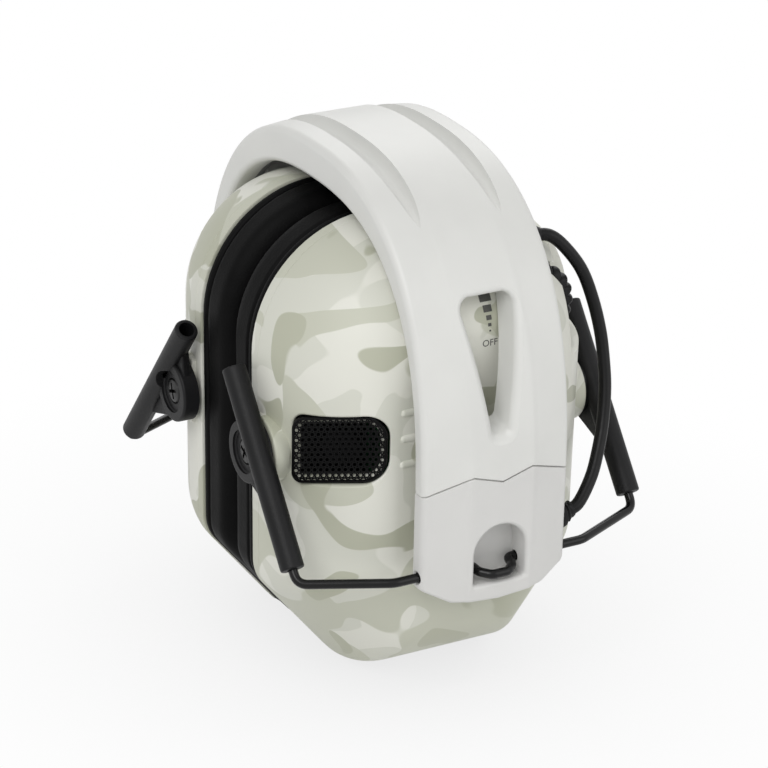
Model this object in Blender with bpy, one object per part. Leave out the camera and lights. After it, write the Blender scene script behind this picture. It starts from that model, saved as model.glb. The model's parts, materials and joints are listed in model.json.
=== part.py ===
"""Slim folding earmuff with electronic cups, in its folded state, standing on its cups.

X runs across the head (+X is the wearer's left), -Y is forward, Z is up from the resting surface.
All sizes are in millimetres and become metres when a mesh is made.
"""
import math

import bmesh
import bpy
from mathutils import Matrix, Vector

MM = 0.001

# Clearances
CLEAR = 0.3
RUN_GAP = 0.3

# Cup outline, seen along X
CUP_HEIGHT = 122.5
CUP_HALF_WIDTH = 45.3
CUP_TOP_RADIUS = 33.0
CUP_TAPER = 1.1
CUP_LOW_HEIGHT = 27.5
CUP_LOW_RADIUS = 12.0
FOOT_HALF_WIDTH = 21.5
FOOT_RADIUS = 7.0

# Cup depth along X
CUP_MEET_GAP = 1.0
CUSHION_DEPTH = 13.6
CUP_DEPTH = 34.5
FRAME_DEPTH = 3.25
SHELL_WALL = 2.4
FRAME_WALL = 2.6
DOME_POWER = 1.8
FACE_HALF_WIDTH = 21.3
FACE_HALF_HEIGHT = 36.7
FOOT_DEPTH = 3.0
FOOT_BLEND_LOW = 8.0
FOOT_BLEND_HIGH = 30.0

# Cushion and ear opening
CUSHION_INSET = 0.6
CUSHION_ROUND = 6.4
BEAD_DEPTH = 2.4
BEAD_GROOVE = 0.8
EAR_HALF_WIDTH = 19.5
EAR_HALF_HEIGHT = 31.0

# What lies behind the ear opening
BASE_PLATE_DEPTH = 1.6
FOAM_START = 7.4
FOAM_DEPTH = 4.3
FOAM_MARGIN = 8.0
SPEAKER_RADIUS = 14.5
SPEAKER_DEPTH = 4.6
SPEAKER_HEIGHT = 63.0
SPEAKER_DISH = 2.4
SPEAKER_PLATE_DEPTH = 1.6

# Fold wire
WIRE_RADIUS = 1.2
FOLD_HEIGHT = 41.0
FOLD_INSET = 2.5
ELBOW_Y = 27.5
CRANK_REACH = 5.5
CRANK_DROP = 0.8
CRANK_FOOT_Y = 5.2
CRANK_TIP_Y = 4.2
LEG_LENGTH = 44.0
LEG_BEND = 3.6
ELBOW_BEND = 7.0
CRANK_BEND = 1.7

# Slider tubes and cup pivots
TUBE_RADIUS = 3.1
TUBE_LENGTH = 53.4
TUBE_FOOT_X = 46.5
TUBE_FOOT_RISE = 3.0
TUBE_LEAN = 38.2
TUBE_OUTSIDE = 0.9
TUBE_MOUTH_RADIUS = 2.1
TUBE_MOUTH_DEPTH = 4.0
PIVOT_X = 20.9
PIVOT_RISE = 24.8
PAD_RADIUS = 9.2
PAD_RISE = 0.4
BOSS_RADIUS = 8.2
BOSS_DEPTH = 4.4
WEB_INSET = 1.0
WEB_LOW = 22.0
WEB_HIGH = 14.0
SCREW_HEAD_RADIUS = 3.2
SCREW_HEAD_DEPTH = 1.4
SCREW_SHANK_RADIUS = 1.5
SCREW_REACH = 7.3
SLOT_WIDTH = 0.9
SLOT_DEPTH = 0.8

# Head band
BAND_HALF_WIDTH = 21.0
ARCH_X = 61.5
ARCH_RISE = 76.0
BAND_OVER_CUP = 14.5
ARCH_POWER = 2.45
EDGE_CROWN = 10.0
EDGE_LEG = 5.6
EDGE_POWER = 1.5
BULGE_CROWN = 1.0
BULGE_LEG = 3.0
FLAT_HALF_WIDTH = 8.5
EDGE_ROUND = 2.0
CROWN_HALF = 14.0
GROOVE_HALF_WIDTH = 3.0
GROOVE_DEPTH = 2.6
GROOVE_FULL_X = 16.0
GROOVE_END_X = 42.0
CHANNEL_HALF_WIDTH = 15.5
CHANNEL_SINK = 1.6
LINER_DEPTH = 1.5
HINGE_LIFT = 0.3

# Window in each arm, with a sloped lip at its foot
WINDOW_TOP_RISE = 72.0
WINDOW_FOOT_RISE = 41.0
WINDOW_LIP = 5.0
WINDOW_TOP_HALF = 8.0
WINDOW_FOOT_HALF = 3.0
WINDOW_TOP_RADIUS = 3.0
WINDOW_FOOT_RADIUS = 2.4

# Band end
SEAM_MIDDLE_RISE = 24.4
SEAM_PEAK_RISE = 27.0
SEAM_EDGE_RISE = 22.5
END_FOOT_DROP = 8.2
END_BEND_DROP = 7.2
END_CORNER_DROP = 3.0
END_BEND_Y = 13.2
RECESS_HALF_WIDTH = 7.4
RECESS_DROP = 3.2
RECESS_RISE = 12.4
RELIEF_RISE = 7.0
RELIEF_HALF_WIDTH = 1.8
RELIEF_HALF_HEIGHT = 2.8
RELIEF_LENGTH = 4.2

# Microphone grille on the front corner of each cup
GRILLE_WIDTH = 24.8
GRILLE_HEIGHT = 18.0
GRILLE_X = 41.4
GRILLE_RISE = 30.0
GRILLE_SINK = 1.0
GRILLE_DEPTH = 1.6
GRILLE_TURN = 43.8
GRILLE_TILT = 7.0
GRILLE_SHARP = 2.5
GRILLE_FULL = 6.0
GRILLE_BORDER = 2.2
GRILLE_HOLE_RADIUS = 1.15
GRILLE_PITCH = 3.1
MIC_RADIUS = 4.8
MIC_DEPTH = 5.0

# Grip ribs on the outer face
RIB_COUNT = 3
RIB_PITCH = 6.7
RIB_HALF_LENGTH = 2.4
RIB_RADIUS = 0.9
RIB_SINK = 0.4
RIB_Y = 18.8
RIB_RISE = 33.7

# Volume wheel in a notch of the +X cup
WHEEL_RADIUS = 11.0
WHEEL_WIDTH = 5.0
WHEEL_INSET = 20.5
WHEEL_RISE = 57.0
WHEEL_LOBES = 14
LOBE_DEPTH = 1.5
WHEEL_GAP = 0.6
SHAFT_RADIUS = 1.5
SHAFT_LENGTH = 3.4
POT_RADIUS = 3.4
POT_DEPTH = 4.6
NOTCH_DEPTH_Y = 4.8
NOTCH_MARGIN = 1.6
NOTCH_LEDGE = 2.4

# Electronics and cells
BOARD_WIDTH = 32.0
BOARD_HEIGHT = 40.0
BOARD_DEPTH = 1.6
BOARD_Y = -3.0
BOARD_RISE = 16.0
CHIP_SIDE = 9.0
CHIP_DEPTH = 1.4
CELL_RADIUS = 5.25
CELL_LENGTH = 44.5
CELL_GAP = 1.1
TRAY_WALL = 1.4
TRAY_SHARE = 3.0
CONTACT_DEPTH = 0.6
CONTACT_HALF = 3.4

# Lead from the band end to the cup
LEAD_RADIUS = 1.65
RELIEF_TIP_RADIUS = 2.1
GLAND_RADIUS = 2.5
GLAND_TIP_RADIUS = 2.0
GLAND_OUTSIDE = 4.6
GLAND_INSIDE = 3.0
GLAND_X = 32.0
GLAND_RISE = 74.5

# Values that follow from the sizes above
RIM_X = CUP_MEET_GAP / 2 + CUSHION_DEPTH + CLEAR
FACE_X = RIM_X + CUP_DEPTH
FRAME_END = RIM_X + FRAME_DEPTH
SPLIT_X = FRAME_END + CLEAR
CUP_MID = CUP_HEIGHT / 2
CUP_LOW_HALF_WIDTH = CUP_HALF_WIDTH - CUP_TAPER
FOAM_X = RIM_X + FOAM_START
PLATE_X = FOAM_X + FOAM_DEPTH + CLEAR
PLATE_END = PLATE_X + SPEAKER_PLATE_DEPTH
FOLD_X = ARCH_X - FOLD_INSET
ARCH_BASE = CUP_HEIGHT + BAND_OVER_CUP - ARCH_RISE
GROOVE_Y = FLAT_HALF_WIDTH + GROOVE_HALF_WIDTH
PIVOT_HEIGHT = FOLD_HEIGHT + PIVOT_RISE
PAD_Y = CUP_HALF_WIDTH + PAD_RISE
BOSS_IN = PAD_Y + RUN_GAP
BOSS_OUT = BOSS_IN + BOSS_DEPTH
TUBE_Y = CUP_HALF_WIDTH + TUBE_OUTSIDE + TUBE_RADIUS
TUBE_DIR = Vector((-math.sin(math.radians(TUBE_LEAN)), 0, math.cos(math.radians(TUBE_LEAN))))
TUBE_FOOT = Vector((TUBE_FOOT_X, TUBE_Y, FOLD_HEIGHT + TUBE_FOOT_RISE))
WHEEL_Y = CUP_HALF_WIDTH - WHEEL_INSET
WHEEL_Z = FOLD_HEIGHT + WHEEL_RISE
POT_END = PLATE_END + CLEAR + POT_DEPTH
WHEEL_START = POT_END + CLEAR
NOTCH_Y = WHEEL_Y + WHEEL_RADIUS - NOTCH_DEPTH_Y
NOTCH_START = SPLIT_X + NOTCH_LEDGE
NOTCH_LOW = WHEEL_Z - WHEEL_RADIUS - NOTCH_MARGIN
NOTCH_HIGH = WHEEL_Z + WHEEL_RADIUS + NOTCH_MARGIN
GRILLE_Z = FOLD_HEIGHT + GRILLE_RISE


# Small geometry helpers

def fillet_polygon(corners, step=14.0, longest=13.0):
    """Return the points of a closed convex polygon whose corners (u, v, radius) are rounded."""
    points = []
    count = len(corners)
    for i, (u, v, radius) in enumerate(corners):
        here = Vector((u, v))
        to_prev = (Vector(corners[i - 1][:2]) - here).normalized()
        to_next = (Vector(corners[(i + 1) % count][:2]) - here).normalized()
        turn = math.pi - to_prev.angle(to_next)
        reach = radius * math.tan(turn / 2)
        centre = here + (to_prev + to_next).normalized() * (radius / math.cos(turn / 2))
        spoke = here + to_prev * reach - centre
        end = here + to_next * reach - centre
        sign = 1 if spoke.x * end.y - spoke.y * end.x > 0 else -1
        parts = max(2, math.ceil(math.degrees(turn) / step))
        for k in range(parts + 1):
            points.append(centre + Matrix.Rotation(sign * turn * k / parts, 2) @ spoke)
    result = []
    for i, point in enumerate(points):
        following = points[(i + 1) % len(points)]
        span = (following - point).length
        if span > 1e-4:
            parts = max(1, math.ceil(span / longest))
            result += [point.lerp(following, k / parts) for k in range(parts)]
    return [(p.x, p.y) for p in result]


def inset_loop(points, distance):
    """Move a convex closed loop inwards by a distance."""
    count = len(points)
    middle = Vector((sum(p[0] for p in points) / count, sum(p[1] for p in points) / count))
    moved = []
    for i, point in enumerate(points):
        here = Vector(point)
        normals = []
        for edge in (here - Vector(points[i - 1]), Vector(points[(i + 1) % count]) - here):
            normal = Vector((-edge.y, edge.x)).normalized()
            normals.append(normal if normal.dot(middle - here) > 0 else -normal)
        mean = (normals[0] + normals[1]).normalized()
        moved.append(tuple(here + mean * (distance / mean.dot(normals[0]))))
    return moved


def loft(rings, loop=False, strips=False):
    """Join equal rings of 3-D points into one closed surface.

    The ends are closed on each other (loop), with one face each, or with strips of faces
    between the first half of a ring and its second half.
    """
    mesh = bmesh.new()
    rows = [[mesh.verts.new(p) for p in ring] for ring in rings]
    for low, high in list(zip(rows, rows[1:])) + ([(rows[-1], rows[0])] if loop else []):
        for i in range(len(low)):
            j = (i + 1) % len(low)
            mesh.faces.new((low[i], low[j], high[j], high[i]))
    if strips:
        for row in (rows[0], rows[-1]):
            last = len(row) - 1
            for k in range(len(row) // 2 - 1):
                mesh.faces.new((row[k], row[k + 1], row[last - k - 1], row[last - k]))
    elif not loop:
        mesh.faces.new(rows[0])
        mesh.faces.new(rows[-1])
    return mesh


def ring_of(centre, axis, radius, sides):
    """Return a circle of points about an axis."""
    axis = Vector(axis).normalized()
    side = axis.orthogonal().normalized()
    other = axis.cross(side)
    return [Vector(centre) + (side * math.cos(2 * math.pi * k / sides)
                              + other * math.sin(2 * math.pi * k / sides)) * radius
            for k in range(sides)]


def cylinder(start, end, radius, far_radius=None, sides=20):
    """Return a closed round bar between two points."""
    axis = Vector(end) - Vector(start)
    far = radius if far_radius is None else far_radius
    return loft([ring_of(start, axis, radius, sides), ring_of(end, axis, far, sides)])


def slab(points, start, end):
    """Extrude a loop of (y, z) points along X."""
    return loft([[(x, y, z) for y, z in points] for x in (start, end)])


def box(low, high):
    """Return a closed box between two corners."""
    (x0, y0, z0), (x1, y1, z1) = low, high
    return loft([[(x0, y0, z), (x1, y0, z), (x1, y1, z), (x0, y1, z)] for z in (z0, z1)])


def blend(value, low, high):
    """Smooth step from 0 at low to 1 at high."""
    t = min(1.0, max(0.0, (value - low) / (high - low)))
    return t * t * (3 - 2 * t)


def round_path(points, radii, parts=3):
    """Round each inner corner of a 3-D polyline with its own bend."""
    points = [Vector(p) for p in points]
    path = [points[0]]
    for before, here, after, radius in zip(points, points[1:], points[2:], radii):
        back, ahead = (before - here).normalized(), (after - here).normalized()
        turn = math.pi - back.angle(ahead)
        reach = min(radius * math.tan(turn / 2), 0.45 * (before - here).length,
                    0.45 * (after - here).length)
        start, end = here + back * reach, here + ahead * reach
        for k in range(parts + 1):
            t = k / parts
            path.append(start * (1 - t) ** 2 + here * (2 * t * (1 - t)) + end * t ** 2)
    return path + [points[-1]]


def smooth_path(points, parts=2):
    """Return points along a Catmull-Rom curve through the given points."""
    points = [Vector(p) for p in points]
    padded = [points[0] * 2 - points[1]] + points + [points[-1] * 2 - points[-2]]
    path = []
    for a, b, c, d in zip(padded, padded[1:], padded[2:], padded[3:]):
        for k in range(parts):
            t = k / parts
            path.append(0.5 * (2 * b + (c - a) * t + (2 * a - 5 * b + 4 * c - d) * t ** 2
                               + (3 * b - a - 3 * c + d) * t ** 3))
    return path + [points[-1]]


# Scene helpers

for old in list(bpy.data.objects):
    bpy.data.objects.remove(old, do_unlink=True)


def material(name, colour, roughness, metallic=0.0):
    """Return a Principled material."""
    mat = bpy.data.materials.new(name)
    mat.use_nodes = True
    shader = mat.node_tree.nodes["Principled BSDF"]
    shader.inputs["Base Color"].default_value = (*colour, 1)
    shader.inputs["Roughness"].default_value = roughness
    shader.inputs["Metallic"].default_value = metallic
    return mat


WHITE = material("band_white", (0.80, 0.80, 0.79), 0.45)
COOL_WHITE = material("band_end_white", (0.74, 0.73, 0.75), 0.45)
LINER = material("liner_grey", (0.45, 0.45, 0.47), 0.6)
CAMO = material("shell_pale", (0.62, 0.63, 0.55), 0.3)
BLACK = material("black_plastic", (0.02, 0.02, 0.022), 0.5)
WIRE = material("wire_black", (0.01, 0.01, 0.01), 0.2, 0.6)
LEATHER = material("cushion_black", (0.014, 0.014, 0.016), 0.45)
FOAM = material("foam_grey", (0.12, 0.12, 0.13), 0.9)
STEEL = material("steel", (0.55, 0.55, 0.56), 0.3, 1.0)
DARK_STEEL = material("dark_screw", (0.06, 0.06, 0.06), 0.35, 0.8)
BOARD = material("board_green", (0.03, 0.18, 0.08), 0.5)
CELL = material("cell_sleeve", (0.25, 0.25, 0.28), 0.35, 0.4)
RUBBER = material("lead_rubber", (0.012, 0.012, 0.013), 0.4)


def link(name, data, mat):
    """Link an object holding the given data."""
    obj = bpy.data.objects.new(name, data)
    obj.data.materials.clear()
    obj.data.materials.append(mat)
    bpy.context.collection.objects.link(obj)
    return obj


def solid(name, mesh, mat=BLACK, side=1):
    """Turn a bmesh in millimetres into an object in metres, mirrored in X when side is -1."""
    for vert in mesh.verts:
        vert.co = (vert.co.x * side * MM, vert.co.y * MM, vert.co.z * MM)
    bmesh.ops.recalc_face_normals(mesh, faces=mesh.faces)
    if mesh.calc_volume(signed=True) < 0:
        bmesh.ops.reverse_faces(mesh, faces=mesh.faces)
    data = bpy.data.meshes.new(name)
    mesh.to_mesh(data)
    mesh.free()
    return link(name, data, mat)


def shape(target, tools, operation="DIFFERENCE"):
    """Apply Boolean tools to an object and remove the tools."""
    mat = target.data.materials[0]
    for tool in tools:
        tool.hide_render = True
        tool.display_type = "WIRE"
        mod = target.modifiers.new("shape", "BOOLEAN")
        mod.operation = operation
        mod.solver = "EXACT"
        mod.object = tool
    bpy.context.view_layer.update()
    graph = bpy.context.evaluated_depsgraph_get()
    data = bpy.data.meshes.new_from_object(target.evaluated_get(graph))
    target.modifiers.clear()
    target.data = data
    data.materials.clear()
    data.materials.append(mat)
    for tool in tools:
        bpy.data.objects.remove(tool, do_unlink=True)
    return target


def tube_path(name, points, radius, mat, resolution, side=1):
    """Sweep a round bar along points as a bevelled curve with filled caps."""
    curve = bpy.data.curves.new(name, "CURVE")
    curve.dimensions = "3D"
    curve.bevel_depth = radius * MM
    curve.bevel_resolution = resolution
    curve.use_fill_caps = True
    spline = curve.splines.new("POLY")
    spline.points.add(len(points) - 1)
    for target, p in zip(spline.points, points):
        target.co = (p[0] * side * MM, p[1] * MM, p[2] * MM, 1)
    return link(name, curve, mat)


# Cup surface

OUTLINE = fillet_polygon([
    (CUP_HALF_WIDTH, CUP_HEIGHT, CUP_TOP_RADIUS),
    (CUP_LOW_HALF_WIDTH, CUP_LOW_HEIGHT, CUP_LOW_RADIUS),
    (FOOT_HALF_WIDTH, 0, FOOT_RADIUS),
    (-FOOT_HALF_WIDTH, 0, FOOT_RADIUS),
    (-CUP_LOW_HALF_WIDTH, CUP_LOW_HEIGHT, CUP_LOW_RADIUS),
    (-CUP_HALF_WIDTH, CUP_HEIGHT, CUP_TOP_RADIUS),
], 20.0, 30.0)


def fitted_loop(half_width, half_height):
    """Return the cup outline scaled about the cup's middle to given half sizes."""
    wide, tall = half_width / CUP_HALF_WIDTH, half_height / CUP_MID
    return [(y * wide, CUP_MID + (z - CUP_MID) * tall) for y, z in OUTLINE]


FACE_LOOP = fitted_loop(FACE_HALF_WIDTH, FACE_HALF_HEIGHT)
EAR_LOOP = fitted_loop(EAR_HALF_WIDTH, EAR_HALF_HEIGHT)


def dome(share):
    """Inward share of the domed side at a share of the depth."""
    share = min(1.0, max(0.0, share))
    return 1 - (1 - share ** DOME_POWER) ** (1 / DOME_POWER)


def dome_stations(start, end, count):
    """Return X stations that follow the dome evenly between two X values."""
    def angle(x):
        return math.asin(min(1.0, max(0.0, (x - RIM_X) / CUP_DEPTH)) ** (DOME_POWER / 2))
    first, last = angle(start), angle(end)
    angles = [first + (last - first) * k / (count - 1) for k in range(count)]
    return [start] + [RIM_X + CUP_DEPTH * math.sin(a) ** (2 / DOME_POWER)
                      for a in angles[1:-1]] + [end]


def cup_loop(x, inset=0.0):
    """Return the cup's outer (y, z) loop at an X, moved inwards by an inset."""
    side = dome((x - RIM_X) / CUP_DEPTH)
    foot = dome((x - RIM_X - FOOT_DEPTH) / (CUP_DEPTH - FOOT_DEPTH))
    loop = []
    for (y, z), (face_y, face_z) in zip(OUTLINE, FACE_LOOP):
        weight = 1 - blend(z, FOOT_BLEND_LOW, FOOT_BLEND_HIGH)
        share = side + (foot - side) * weight
        loop.append((y + (face_y - y) * share, z + (face_z - z) * share))
    return inset_loop(loop, inset) if inset else loop


def cup_ring(x, inset=0.0):
    """Return the cup's outer ring at an X as 3-D points."""
    return [(x, y, z) for y, z in cup_loop(x, inset)]


def surface_point(x, height, sign):
    """Return the cup's surface point at an X and a height, front (-1) or rear (1)."""
    loop = cup_loop(x)
    found = 0.0
    for a, b in zip(loop, loop[1:] + loop[:1]):
        low, high = sorted((a[1], b[1]))
        if high > low and low <= height <= high:
            y = a[0] + (b[0] - a[0]) * (height - a[1]) / (b[1] - a[1])
            if y * sign > found * sign:
                found = y
    return Vector((x, found, height))


def surface_normal(x, height, sign):
    """Return the cup's outward normal at an X and a height."""
    along = surface_point(x + 0.5, height, sign) - surface_point(x - 0.5, height, sign)
    up = surface_point(x, height + 0.5, sign) - surface_point(x, height - 0.5, sign)
    normal = along.cross(up).normalized()
    return normal if normal.y * sign > 0 else -normal


# Band surface

def arch_point(tau):
    """Return the band's outer edge line at an arch angle."""
    c, s = math.cos(tau), max(0.0, math.sin(tau))
    return Vector((math.copysign(ARCH_X * abs(c) ** (2 / ARCH_POWER), c), 0,
                   ARCH_BASE + ARCH_RISE * s ** (2 / ARCH_POWER)))


def arch_normal(tau):
    """Return the outward normal of the band's edge line."""
    step = 1e-3
    run = arch_point(min(math.pi, tau + step)) - arch_point(max(0.0, tau - step))
    return Vector((run.z, 0, -run.x)).normalized()


def arch_angle(x):
    """Return the arch angle whose edge line passes an X."""
    return math.acos(math.copysign((abs(x) / ARCH_X) ** (ARCH_POWER / 2), x))


def edge_depth(tau):
    """Depth of the band at its edges."""
    return EDGE_LEG + (EDGE_CROWN - EDGE_LEG) * math.sin(tau) ** EDGE_POWER


ROUND_START = BAND_HALF_WIDTH - EDGE_ROUND
CHANNEL_DEPTH = LINER_DEPTH + CLEAR + CHANNEL_SINK
CHANNEL_DRAFT = 0.05
BAND_Y = sorted({sign * y for sign in (-1, 1) for y in (
    0, FLAT_HALF_WIDTH, FLAT_HALF_WIDTH + 0.5 * GROOVE_HALF_WIDTH, GROOVE_Y,
    GROOVE_Y + 0.5 * GROOVE_HALF_WIDTH, GROOVE_Y + GROOVE_HALF_WIDTH,
    CHANNEL_HALF_WIDTH - CHANNEL_DRAFT, CHANNEL_HALF_WIDTH, ROUND_START,
    ROUND_START + 0.5 * EDGE_ROUND, ROUND_START + 0.87 * EDGE_ROUND, BAND_HALF_WIDTH)})


def outer_height(y, tau, x):
    """Height of the band's outer face above its edge line."""
    bulge = BULGE_LEG + (BULGE_CROWN - BULGE_LEG) * math.sin(tau)
    slope = (ROUND_START - abs(y)) / (ROUND_START - FLAT_HALF_WIDTH)
    height = bulge * min(1.0, max(0.0, slope))
    over = max(0.0, abs(y) - ROUND_START)
    height -= EDGE_ROUND - math.sqrt(max(0.0, EDGE_ROUND ** 2 - over ** 2))
    fade = 1 - blend(abs(x), GROOVE_FULL_X, GROOVE_END_X)
    away = abs(abs(y) - GROOVE_Y) / GROOVE_HALF_WIDTH
    if away < 1:
        height -= GROOVE_DEPTH * fade * math.cos(away * math.pi / 2) ** 2
    return height


def band_profile(tau, x, channel):
    """Return the band's section: its outer (y, height) pairs, then its inner ones back again."""
    depth = edge_depth(tau)
    outer = [(y, outer_height(y, tau, x)) for y in BAND_Y]
    inner = []
    for y in BAND_Y:
        rise = channel if abs(y) < CHANNEL_HALF_WIDTH - 0.5 * CHANNEL_DRAFT else 0.0
        inner.append((y, rise - depth + max(0.0, abs(y) - ROUND_START) * 0.4))
    return outer + inner[::-1]


def liner_profile(tau):
    """Return the liner's section in the band's channel."""
    top = -edge_depth(tau) + CHANNEL_DEPTH - CLEAR
    wide = CHANNEL_HALF_WIDTH - CHANNEL_DRAFT - CLEAR
    return [(wide, top), (0, top), (-wide, top), (-wide, top - LINER_DEPTH),
            (0, top - LINER_DEPTH), (wide, top - LINER_DEPTH)]


def section(tau, profile):
    """Place a section's (y, height) pairs on the arch."""
    base, normal = arch_point(tau), arch_normal(tau)
    return [(base.x + normal.x * h, y, base.z + normal.z * h) for y, h in profile]


def seam(y):
    """Height of the zigzag seam between arm and band end."""
    y = abs(y)
    if y < FLAT_HALF_WIDTH:
        share = y / FLAT_HALF_WIDTH
        return FOLD_HEIGHT + SEAM_MIDDLE_RISE + (SEAM_PEAK_RISE - SEAM_MIDDLE_RISE) * share
    share = (y - FLAT_HALF_WIDTH) / (BAND_HALF_WIDTH - FLAT_HALF_WIDTH)
    return FOLD_HEIGHT + SEAM_PEAK_RISE + (SEAM_EDGE_RISE - SEAM_PEAK_RISE) * share


def end_foot(y):
    """Height of the band end's lower edge."""
    y = abs(y)
    if y < END_BEND_Y:
        return FOLD_HEIGHT - END_FOOT_DROP + (END_FOOT_DROP - END_BEND_DROP) * y / END_BEND_Y
    share = (y - END_BEND_Y) / (BAND_HALF_WIDTH - END_BEND_Y)
    return FOLD_HEIGHT - END_BEND_DROP + (END_BEND_DROP - END_CORNER_DROP) * share


SEAM_TOP = FOLD_HEIGHT + SEAM_PEAK_RISE
CROWN_ANGLE = arch_angle(CROWN_HALF)
SPLIT_STEP = 0.01 * CLEAR / (arch_point(CROWN_ANGLE + 0.005) - arch_point(CROWN_ANGLE - 0.005)).length
ARM_START_ANGLE = CROWN_ANGLE - SPLIT_STEP
ARM_END_ANGLE = math.asin(((SEAM_TOP + 5 - ARCH_BASE) / ARCH_RISE) ** (ARCH_POWER / 2))
HINGE = arch_point(CROWN_ANGLE - SPLIT_STEP / 2) + arch_normal(CROWN_ANGLE) * (
    BULGE_CROWN + HINGE_LIFT)


def angles_between(first, last, count):
    """Return evenly spaced arch angles."""
    return [first + (last - first) * k / (count - 1) for k in range(count)]


def build_crown():
    """Build the middle of the band and its liner."""
    stations = angles_between(CROWN_ANGLE, math.pi - CROWN_ANGLE, 5)
    crown = solid("band_crown", loft([
        section(t, band_profile(t, arch_point(t).x, CHANNEL_DEPTH)) for t in stations],
        strips=True), WHITE)
    liner = solid("crown_liner", loft([section(t, liner_profile(t)) for t in stations]), LINER)
    return [crown, liner]


def window_tool(side):
    """Return the cutter of the arm's window, which slopes out to a lip at its foot."""
    loops = []
    for x, foot in ((CUP_HALF_WIDTH, WINDOW_FOOT_RISE), (FOLD_X, WINDOW_FOOT_RISE),
                    (ARCH_X + BULGE_LEG + 4, WINDOW_FOOT_RISE - 2 * WINDOW_LIP)):
        low, high = FOLD_HEIGHT + foot, FOLD_HEIGHT + WINDOW_TOP_RISE
        loops.append([(x, y, z) for y, z in fillet_polygon([
            (WINDOW_TOP_HALF, high, WINDOW_TOP_RADIUS), (WINDOW_FOOT_HALF, low, WINDOW_FOOT_RADIUS),
            (-WINDOW_FOOT_HALF, low, WINDOW_FOOT_RADIUS),
            (-WINDOW_TOP_HALF, high, WINDOW_TOP_RADIUS)], 30.0, 80.0)])
    return solid("window", loft(loops), WHITE, side)


def relief_rings():
    """Return the rings and the tip of the strain relief on the band end's rear side face."""
    start = Vector((FOLD_X - 0.9, BAND_HALF_WIDTH + CLEAR, FOLD_HEIGHT + RELIEF_RISE))
    tip = start + Vector((-0.16, 0.86, 0.48)) * RELIEF_LENGTH
    rings = []
    for share in (0.0, 0.35, 1.0):
        centre = start.lerp(tip, share)
        wide = RELIEF_HALF_WIDTH + (RELIEF_TIP_RADIUS - RELIEF_HALF_WIDTH) * share
        tall = RELIEF_HALF_HEIGHT + (RELIEF_TIP_RADIUS - RELIEF_HALF_HEIGHT) * share
        up = Vector((0, -0.35 * share, 1)).normalized()
        rings.append([centre + Vector((1, 0, 0)) * wide * math.cos(math.pi * k / 8)
                      + up * tall * math.sin(math.pi * k / 8) for k in range(16)])
    return rings, tip


def gland_axis():
    """Return where the cup gland leaves the shell and the way it points."""
    height = FOLD_HEIGHT + GLAND_RISE
    point = surface_point(GLAND_X, height, 1)
    normal = surface_normal(GLAND_X, height, 1)
    return point, (normal + Vector((0.30, 0.85, -0.35))).normalized()


def lead_path():
    """Return the lead's route from the band end's strain relief up to the cup's gland."""
    rings, tip = relief_rings()
    leave = (rings[-1][4] - rings[-1][0]).cross(rings[-1][0] - rings[-1][8]).normalized()
    leave = leave if leave.y > 0 else -leave
    point, way = gland_axis()
    start, mouth = tip + leave * CLEAR, point + way * (GLAND_OUTSIDE + CLEAR)
    middle = [start + leave * LEAD_RADIUS, (55.0, 31.8, 55.7), (52.5, 35.1, 60.8),
              (49.5, 38.2, 67.1), (46.6, 40.4, 74.8), (44.2, 41.3, 81.2), (41.4, 41.5, 89.4),
              (38.9, 40.2, 98.0), (37.0, 36.8, 105.4), (35.3, 33.2, 111.0),
              mouth + way * LEAD_RADIUS]
    return [start] + smooth_path(middle) + [mouth]


def build_arm(name, side):
    """Build one arm of the band with its window, its liner and its end."""
    stations = angles_between(ARM_START_ANGLE, ARM_END_ANGLE, 12)
    rings = [section(t, band_profile(t, arch_point(t).x, CHANNEL_DEPTH)) for t in stations]
    foot = arch_point(0.0).x
    rings.append([(foot + h, y, seam(y) + CLEAR / 2)
                  for y, h in band_profile(0.0, ARCH_X, CHANNEL_DEPTH)])
    arm = solid("band_arm_" + name, loft(rings, strips=True), WHITE, side)
    shape(arm, [window_tool(side)])

    rings = [section(t, liner_profile(t)) for t in stations]
    liner = solid("arm_liner_" + name, loft(rings), LINER, side)
    shape(liner, [window_tool(side)])

    profile = band_profile(0.0, ARCH_X, 0.05)
    rings = [[(foot + h, y, seam(y) - CLEAR / 2) for y, h in profile],
             [(foot + h, y, FOLD_HEIGHT + 4) for y, h in profile],
             [(foot + h, y, end_foot(y)) for y, h in profile]]
    end = solid("band_end_" + name, loft(rings, strips=True), COOL_WHITE, side)
    back = FOLD_X - WIRE_RADIUS - RUN_GAP
    low, high = FOLD_HEIGHT - RECESS_DROP, FOLD_HEIGHT + RECESS_RISE
    arch = [(RECESS_HALF_WIDTH, low, 0.8), (-RECESS_HALF_WIDTH, low, 0.8),
            (-RECESS_HALF_WIDTH, high, RECESS_HALF_WIDTH - 0.05),
            (RECESS_HALF_WIDTH, high, RECESS_HALF_WIDTH - 0.05)]
    recess = solid("recess", slab(fillet_polygon(arch), back, ARCH_X + BULGE_LEG + 9), WHITE, side)
    bore = solid("bore", cylinder((FOLD_X, -BAND_HALF_WIDTH - 5, FOLD_HEIGHT),
                                  (FOLD_X, BAND_HALF_WIDTH + 5, FOLD_HEIGHT),
                                  WIRE_RADIUS + RUN_GAP, sides=16), WHITE, side)
    shape(end, [recess, bore])
    rings, _ = relief_rings()
    relief = solid("strain_relief_" + name, loft(rings), BLACK, side)
    return [arm, liner, end, relief]


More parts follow.
